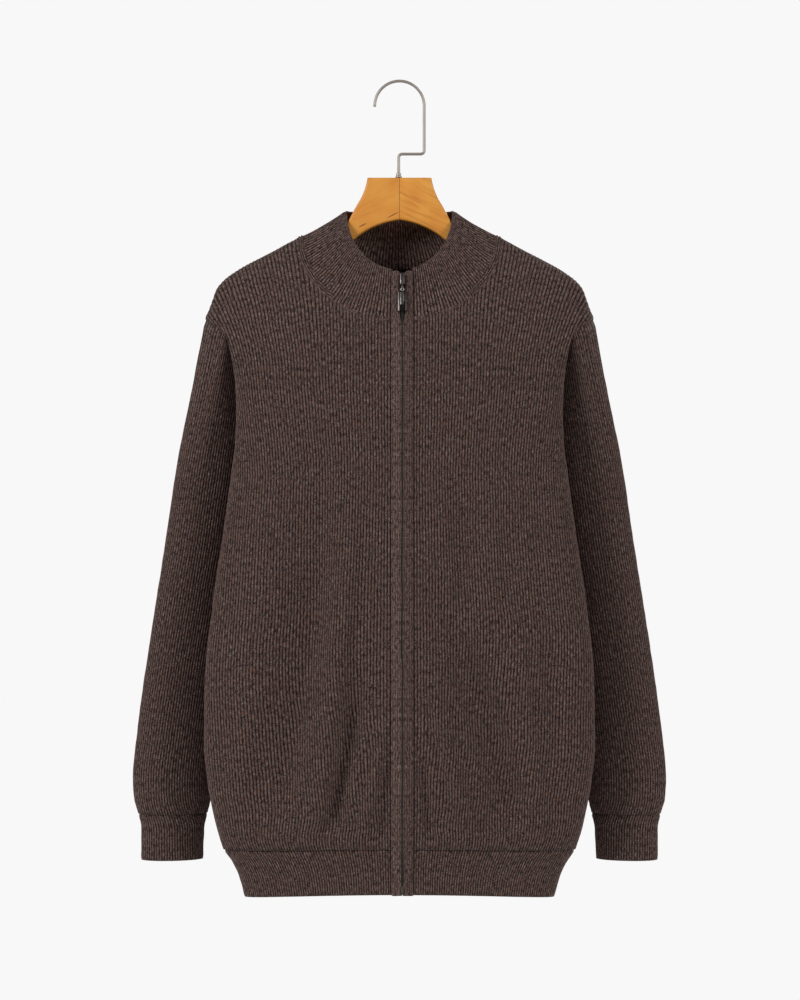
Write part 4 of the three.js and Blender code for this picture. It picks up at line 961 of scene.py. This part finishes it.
# Tab: the eye and the strips on the wearer's right are painted highlight, the middle and the rail on the left
# painted shade, and the plate and its recesses painted black shade.
tab_parts = [
    ring(2.05, 0.45, -0.42, 0, 0, False, middle_rail), ring(2.05, 0.45, 0.42, 0, 0, False, middle_rail),
    block(-0.9, 0.9, -0.6, 0.6, EYE_Z + 1.2, -1.4, 0.3, middle_rail),
    ring(2.3, 0.72, 0, 0, EYE_Z, True, painted_highlight_rail),
    block(-2.2, 2.2, -0.6, 0.6, PLATE_TOP - 0.6, PLATE_TOP + 0.7, 0.25, painted_shade_recess),
    block(-4.5, 4.5, -0.15, 0.75, PLATE_TOP - 21.5, PLATE_TOP, 0.3, painted_shade_recess),
    block(-4.5, -3.2, -0.75, 0.6, PLATE_TOP - 21.5, PLATE_TOP, 0.4, painted_highlight_rail),
    block(3.5, 4.5, -0.75, 0.6, PLATE_TOP - 21.5, PLATE_TOP, 0.4, painted_shade_rail),
    block(-2.0, -1.4, -1.4, 0.3, PLATE_TOP - 14.5, PLATE_TOP - 0.3, 0.35, painted_highlight_rail),
    block(-1.45, 1.6, -1.38, 0.3, PLATE_TOP - 14.5, PLATE_TOP - 0.3, 0.2, painted_shade_rail),
    block(1.4, 2.1, -1.38, 0.3, PLATE_TOP - 11, PLATE_TOP - 0.3, 0.35, middle_rail),
    block(-2.2, 2.2, -0.42, 0.3, PLATE_TOP - 21, PLATE_TOP - 15.8, 0.2, painted_shade_recess),
    block(-2.2, 2.2, -0.6, 0.3, PLATE_TOP - 16.2, PLATE_TOP - 15.9, 0.1, painted_shade_rail)]
cast(tab_parts, "zip_pull_tab_cast", "pull_tab", "zip_pull_tab",
     hang @ Matrix.Translation((0, -PIN_OUT / 1000, -PIN_DOWN / 1000)))


MERGE = 0.000005     # metres; points nearer than this are one


def softened(node, body, material, width, name):
    """A finished copy of a plain metal solid: its edges rounded as tumbling leaves them."""
    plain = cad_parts[node]
    bpy.ops.object.select_all(action="DESELECT")
    made = plain.copy()
    made.data = plain.data.copy()
    made.name = name
    made.hide_render = made.hide_viewport = False
    for key in list(made.keys()):
        if key.startswith("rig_"):
            del made[key]
    scene.collection.objects.link(made)
    made.parent = None
    made.select_set(True)
    bpy.context.view_layer.objects.active = made
    bpy.ops.object.mode_set(mode="EDIT")
    bpy.ops.mesh.select_all(action="SELECT")
    bpy.ops.mesh.remove_doubles(threshold=MERGE)
    bpy.ops.mesh.dissolve_limited(angle_limit=math.radians(1))
    bpy.ops.object.mode_set(mode="OBJECT")
    rounding = made.modifiers.new("tumbled edge", "BEVEL")
    rounding.width, rounding.segments = width / 1000, 2
    rounding.limit_method, rounding.angle_limit = "ANGLE", math.radians(35)
    bpy.ops.object.modifier_apply(modifier=rounding.name)
    bpy.ops.object.shade_smooth_by_angle(angle=math.radians(40))
    made.data.materials.clear()
    made.data.materials.append(material)
    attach(made, body)
    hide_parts(node)
    return made


softened("zip_box", "garment", middle_rail, 0.12, "zip_box_cast")


# ---- hanger arms ----
# Two halves of close-grained hardwood, glued at the middle so that the grain meets in a chevron,
# with rounded edges under a clear amber varnish.
WOOD_THICK, WOOD_EDGE, WOOD_TOP = 11.0, 2.5, -105.0
wood, tree = new_material("varnished_hardwood_chevron")
place = add(tree, "TexCoord").outputs["Object"]
axes = add(tree, "SeparateXYZ", _0=place)
aside = add(tree, "Math", {"operation": "ABSOLUTE"}, _0=axes.outputs[0])
# Grain runs up towards the middle joint at about 27 degrees on both halves.
rise = add(tree, "Math", {"operation": "MULTIPLY_ADD"}, _0=aside.outputs[0], _1=0.5, _2=axes.outputs[2])
along = add(tree, "Math", {"operation": "MULTIPLY_ADD"}, _0=axes.outputs[2], _1=-0.5, _2=aside.outputs[0])
half_word = add(tree, "Math", {"operation": "SIGN"}, _0=axes.outputs[0])
grain_at = add(tree, "CombineXYZ",
               _0=add(tree, "Math", {"operation": "MULTIPLY"}, _0=rise.outputs[0], _1=260.0).outputs[0],
               _1=add(tree, "Math", {"operation": "MULTIPLY_ADD"}, _0=along.outputs[0], _1=16.0,
                      _2=half_word.outputs[0]).outputs[0],
               _2=add(tree, "Math", {"operation": "MULTIPLY"}, _0=axes.outputs[1], _1=90.0).outputs[0])
grain = add(tree, "TexNoise", Vector=grain_at.outputs[0], Scale=1.0, Detail=4.0, Roughness=0.6,
            Distortion=0.5)
flow = add(tree, "ValToRGB", Fac=grain.outputs[0])
flow.color_ramp.elements[0].position, flow.color_ramp.elements[0].color = 0.25, linear("aa6b28")
flow.color_ramp.elements[1].position, flow.color_ramp.elements[1].color = 0.75, linear("d29340")
middle = flow.color_ramp.elements.new(0.5)
middle.color = linear("cb8b37")
# Wide soft bands across a board of about 20 mm.
cloud = add(tree, "TexNoise", Vector=place, Scale=38.0, Detail=1.0)
warm = add(tree, "MapRange", _0=cloud.outputs[0], _1=0.35, _2=0.65, _3=0.0, _4=0.35)
# The half on the wearer's right is cut from plainer wood than the other.
plain = add(tree, "MapRange", _0=axes.outputs[0], _1=-0.0003, _2=0.0003, _3=0.6, _4=0.0)
board = add(tree, "Mix", {"data_type": "RGBA"}, _0=plain.outputs[0], _6=flow.outputs[0], _7=linear("c98938"))
colour = add(tree, "Mix", {"data_type": "RGBA", "blend_type": "MULTIPLY"}, _0=warm.outputs[0],
             _6=board.outputs[2], _7=linear("e8c08c"))
# Two dark mineral streaks cross the plainer half near the arch: x, z, length and half width, mm.
for x, z, length, half in ((-40.5, -157.5, 4.5, 0.8), (-7.2, -146.2, 7.0, 0.7)):
    across = add(tree, "Math", {"operation": "SUBTRACT"}, _0=rise.outputs[0], _1=(z + 0.5 * abs(x)) / 1000)
    beside = add(tree, "Math", {"operation": "SUBTRACT"}, _0=axes.outputs[0], _1=x / 1000)
    near = add(tree, "Math", {"operation": "POWER"}, _0=add(tree, "Math", {"operation": "DIVIDE"},
               _0=across.outputs[0], _1=half / 1000).outputs[0], _1=2.0)
    far = add(tree, "Math", {"operation": "POWER"}, _0=add(tree, "Math", {"operation": "DIVIDE"},
              _0=beside.outputs[0], _1=length / 1000).outputs[0], _1=2.0)
    both = add(tree, "Math", {"operation": "ADD"}, _0=near.outputs[0], _1=far.outputs[0])
    mark = add(tree, "MapRange", _0=both.outputs[0], _1=1.3, _2=0.3, _3=0.0, _4=0.9)
    colour = add(tree, "Mix", {"data_type": "RGBA"}, _0=mark.outputs[0], _6=colour.outputs[2],
                 _7=linear("572a0d"))
# The glued joint at the middle shows as a line 0.3 mm wide.
joint = add(tree, "MapRange", _0=aside.outputs[0], _1=0.0004, _2=0.00015, _3=0.0, _4=0.8)
colour = add(tree, "Mix", {"data_type": "RGBA"}, _0=joint.outputs[0], _6=colour.outputs[2],
             _7=linear("4a2810"))
bump = add(tree, "Bump", Strength=0.08, Distance=0.0003, Height=grain.outputs[0])
shader = add(tree, "BsdfPrincipled", Base_Color=colour.outputs[2], Roughness=0.5, Normal=bump.outputs[0])
shader.inputs["IOR"].default_value = 1.5
shader.inputs["Specular IOR Level"].default_value = 0.3
shader.inputs["Coat Weight"].default_value = 0.12
shader.inputs["Coat Roughness"].default_value = 0.25
finish_material(tree, shader)


def bowed(start, control, end, steps=14):
    t = np.linspace(0, 1, steps + 1)[1:, None]
    start, control, end = map(np.array, (start, control, end))
    return ((1 - t) ** 2 * start + 2 * t * (1 - t) * control + t * t * end).tolist()


def drawn(name, points, closed):
    """A curve through these points."""
    curve = bpy.data.curves.new(name, "CURVE")
    curve.dimensions = "3D"
    line = curve.splines.new("POLY")
    line.points.add(len(points) - 1)
    line.points.foreach_set("co", np.ravel(points))
    line.use_cyclic_u = closed
    return curve


def closed_mesh(piece, turn, sharp):
    """A curve turned into a closed mesh: tipped up by turn, smooth where it bends under sharp."""
    bpy.ops.object.select_all(action="DESELECT")
    piece.rotation_euler = (turn, 0, 0)
    piece.select_set(True)
    bpy.context.view_layer.objects.active = piece
    bpy.ops.object.convert(target="MESH")
    made = bpy.context.object
    bpy.ops.object.transform_apply(location=True, rotation=True, scale=True)
    bpy.ops.object.mode_set(mode="EDIT")
    bpy.ops.mesh.select_all(action="SELECT")
    bpy.ops.mesh.remove_doubles(threshold=MERGE)
    bpy.ops.mesh.normals_make_consistent(inside=False)
    bpy.ops.object.mode_set(mode="OBJECT")
    bpy.ops.object.shade_smooth_by_angle(angle=math.radians(sharp))
    return made


middle_x = 0.3
outline = [[middle_x, WOOD_TOP - WOOD_EDGE], [33, WOOD_TOP - WOOD_EDGE]]
for control, end in (((35.5, -121), (42, -132)), ((47.5, -141), (53, -152)), ((61, -168), (111, -190))):
    outline += bowed(outline[-1], control, end)
outline += [[137, -200], [160, -209], [178, -218.5]]
for control, end in (((189, -226), (190, -236)), ((190, -243), (181, -242)), ((150, -230), (111, -211)),
                     ((78, -192), (49, -169)), ((28, -152.5), (middle_x, -149))):
    outline += bowed(outline[-1], control, end)
whole = outline + [[-x, z] for x, z in outline[::-1]]
curve = drawn("hanger_varnished_arms", [[x / 1000, z / 1000, 0, 1] for x, z in whole], True)
curve.dimensions, curve.fill_mode = "2D", "BOTH"
curve.extrude = (WOOD_THICK / 2 - WOOD_EDGE) / 1000
curve.bevel_depth, curve.bevel_resolution = WOOD_EDGE / 1000, 5
arms = closed_mesh(placed("hanger_varnished_arms", curve), math.pi / 2, 30)
dress(arms, ["hanger_arm_left", "hanger_arm_right"], wood)


# ---- hook and ferrule ----
# One length of 3.2 mm steel wire, bent cold and nickel plated, screwed through a turned nickel
# ferrule into the wood; drawing the wire leaves faint lines along it under a satin surface.
WIRE, HOOK_R, SHANK_X, JOG_Z, JOG = 1.6, 27.2, -0.9, -78.7, 4.5
nickel, tree = new_material("satin_nickel_plated_steel")
place = add(tree, "TexCoord").outputs["Object"]
lines = add(tree, "TexNoise", Vector=add(tree, "Mapping", Vector=place, Scale=(700, 700, 60)).outputs[0],
            Scale=1.0, Detail=1.0)
tint = add(tree, "ValToRGB", Fac=lines.outputs[0])
tint.color_ramp.elements[0].color = linear("77716a")
tint.color_ramp.elements[1].color = linear("8b857d")
shader = add(tree, "BsdfPrincipled", Base_Color=tint.outputs[0], Roughness=0.5, Metallic=1.0)
finish_material(tree, shader)
centre_z = WIRE - HOOK_R
path = [[SHANK_X, -101], [SHANK_X, -90], [SHANK_X, JOG_Z - JOG]]
path += bowed(path[-1], (SHANK_X, JOG_Z), (SHANK_X + JOG, JOG_Z), 8)
path += [[12, JOG_Z], [HOOK_R - JOG, JOG_Z]]
path += bowed(path[-1], (HOOK_R, JOG_Z), (HOOK_R, JOG_Z + JOG), 8)
path += [[HOOK_R, -60], [HOOK_R, -45]]
sweep = np.linspace(0, math.pi, 49)
path += [[HOOK_R * math.cos(a), centre_z + HOOK_R * math.sin(a)] for a in sweep]
for inset in (0.25, 0.7, 1.15):     # the cut end is ground round
    path.append([-HOOK_R, centre_z - inset])
curve = drawn("hanger_hook_wire", [[x / 1000, 0, z / 1000, 1] for x, z in path], False)
curve.bevel_depth, curve.bevel_resolution, curve.use_fill_caps = WIRE / 1000, 6, True
for k, radius in ((-3, 0.97), (-2, 0.86), (-1, 0.55)):
    curve.splines[0].points[k].radius = radius
hook = closed_mesh(placed("hanger_hook_wire", curve), 0, 50)
dress(hook, ["hanger_hook"], nickel)
ferrule = softened("hanger_ferrule", "garment", nickel, 0.2, "hanger_ferrule_turned")


# ---- floor, light and camera ----
# A plain pale floor under the hanging garment, a pale room, one large soft light up on the
# wearer's right, a weaker one on the other side and one behind.
bpy.ops.object.select_all(action="DESELECT")
bpy.ops.mesh.primitive_plane_add(size=2.2, location=(0, 0, -1.3))
floor = bpy.context.object
floor.name = "floor"
pale, tree = new_material("pale_painted_floor")
shader = add(tree, "BsdfPrincipled", Base_Color=linear("f4f4f4"), Roughness=0.9)
finish_material(tree, shader)
floor.data.materials.append(pale)

world = bpy.data.worlds.new("pale_room")
scene.world = world
world.use_nodes = True
tree = world.node_tree
tree.nodes.clear()
path = add(tree, "LightPath")
# The room is pale to look at and in the metal; the cloth takes less light from it than from the lamps.
seen = add(tree, "Math", {"operation": "MAXIMUM"}, _0=path.outputs["Is Camera Ray"],
           _1=path.outputs["Is Glossy Ray"])
strength = add(tree, "MapRange", _0=seen.outputs[0], _1=0.0, _2=1.0, _3=0.28, _4=1.0)
sky = add(tree, "Background", Color=linear("f8f8f8"), Strength=strength.outputs[0])
add(tree, "OutputWorld", Surface=sky.outputs[0])
scene.view_settings.view_transform = "Standard"


def soft_light(name, place, aim, size, watts):
    lamp = bpy.data.lights.new(name, "AREA")
    lamp.shape, lamp.size, lamp.energy = "SQUARE", size, watts
    made = placed(name, lamp)
    made.location = place
    line = np.array(aim) - np.array(place)
    across = math.hypot(line[0], line[1])
    made.rotation_euler = (math.atan2(across, -line[2]), 0, math.atan2(line[1], line[0]) - math.pi / 2)
    return made


soft_light("key_light", (-2.4, -1.9, 0.7), (0, 0, -0.45), 1.1, 80)
soft_light("side_light", (2.2, -1.7, 0.4), (0, 0, -0.5), 1.2, 44)
soft_light("back_light", (1.2, 2.6, 1.5), (0, 0, -0.45), 1.2, 60)

LENS, SENSOR, VIEW_HEIGHT = 100, 36, 1.1     # mm, mm and metres of height seen at the garment
camera = bpy.data.cameras.new("camera")
camera.lens, camera.sensor_width = LENS, SENSOR
eye = placed("camera", camera)
eye.location = (0.00055, -LENS / SENSOR * VIEW_HEIGHT, -0.45925)
eye.rotation_euler = (math.pi / 2, 0, 0)
camera.clip_end = 20
scene.camera = eye

bpy.context.view_layer.update()
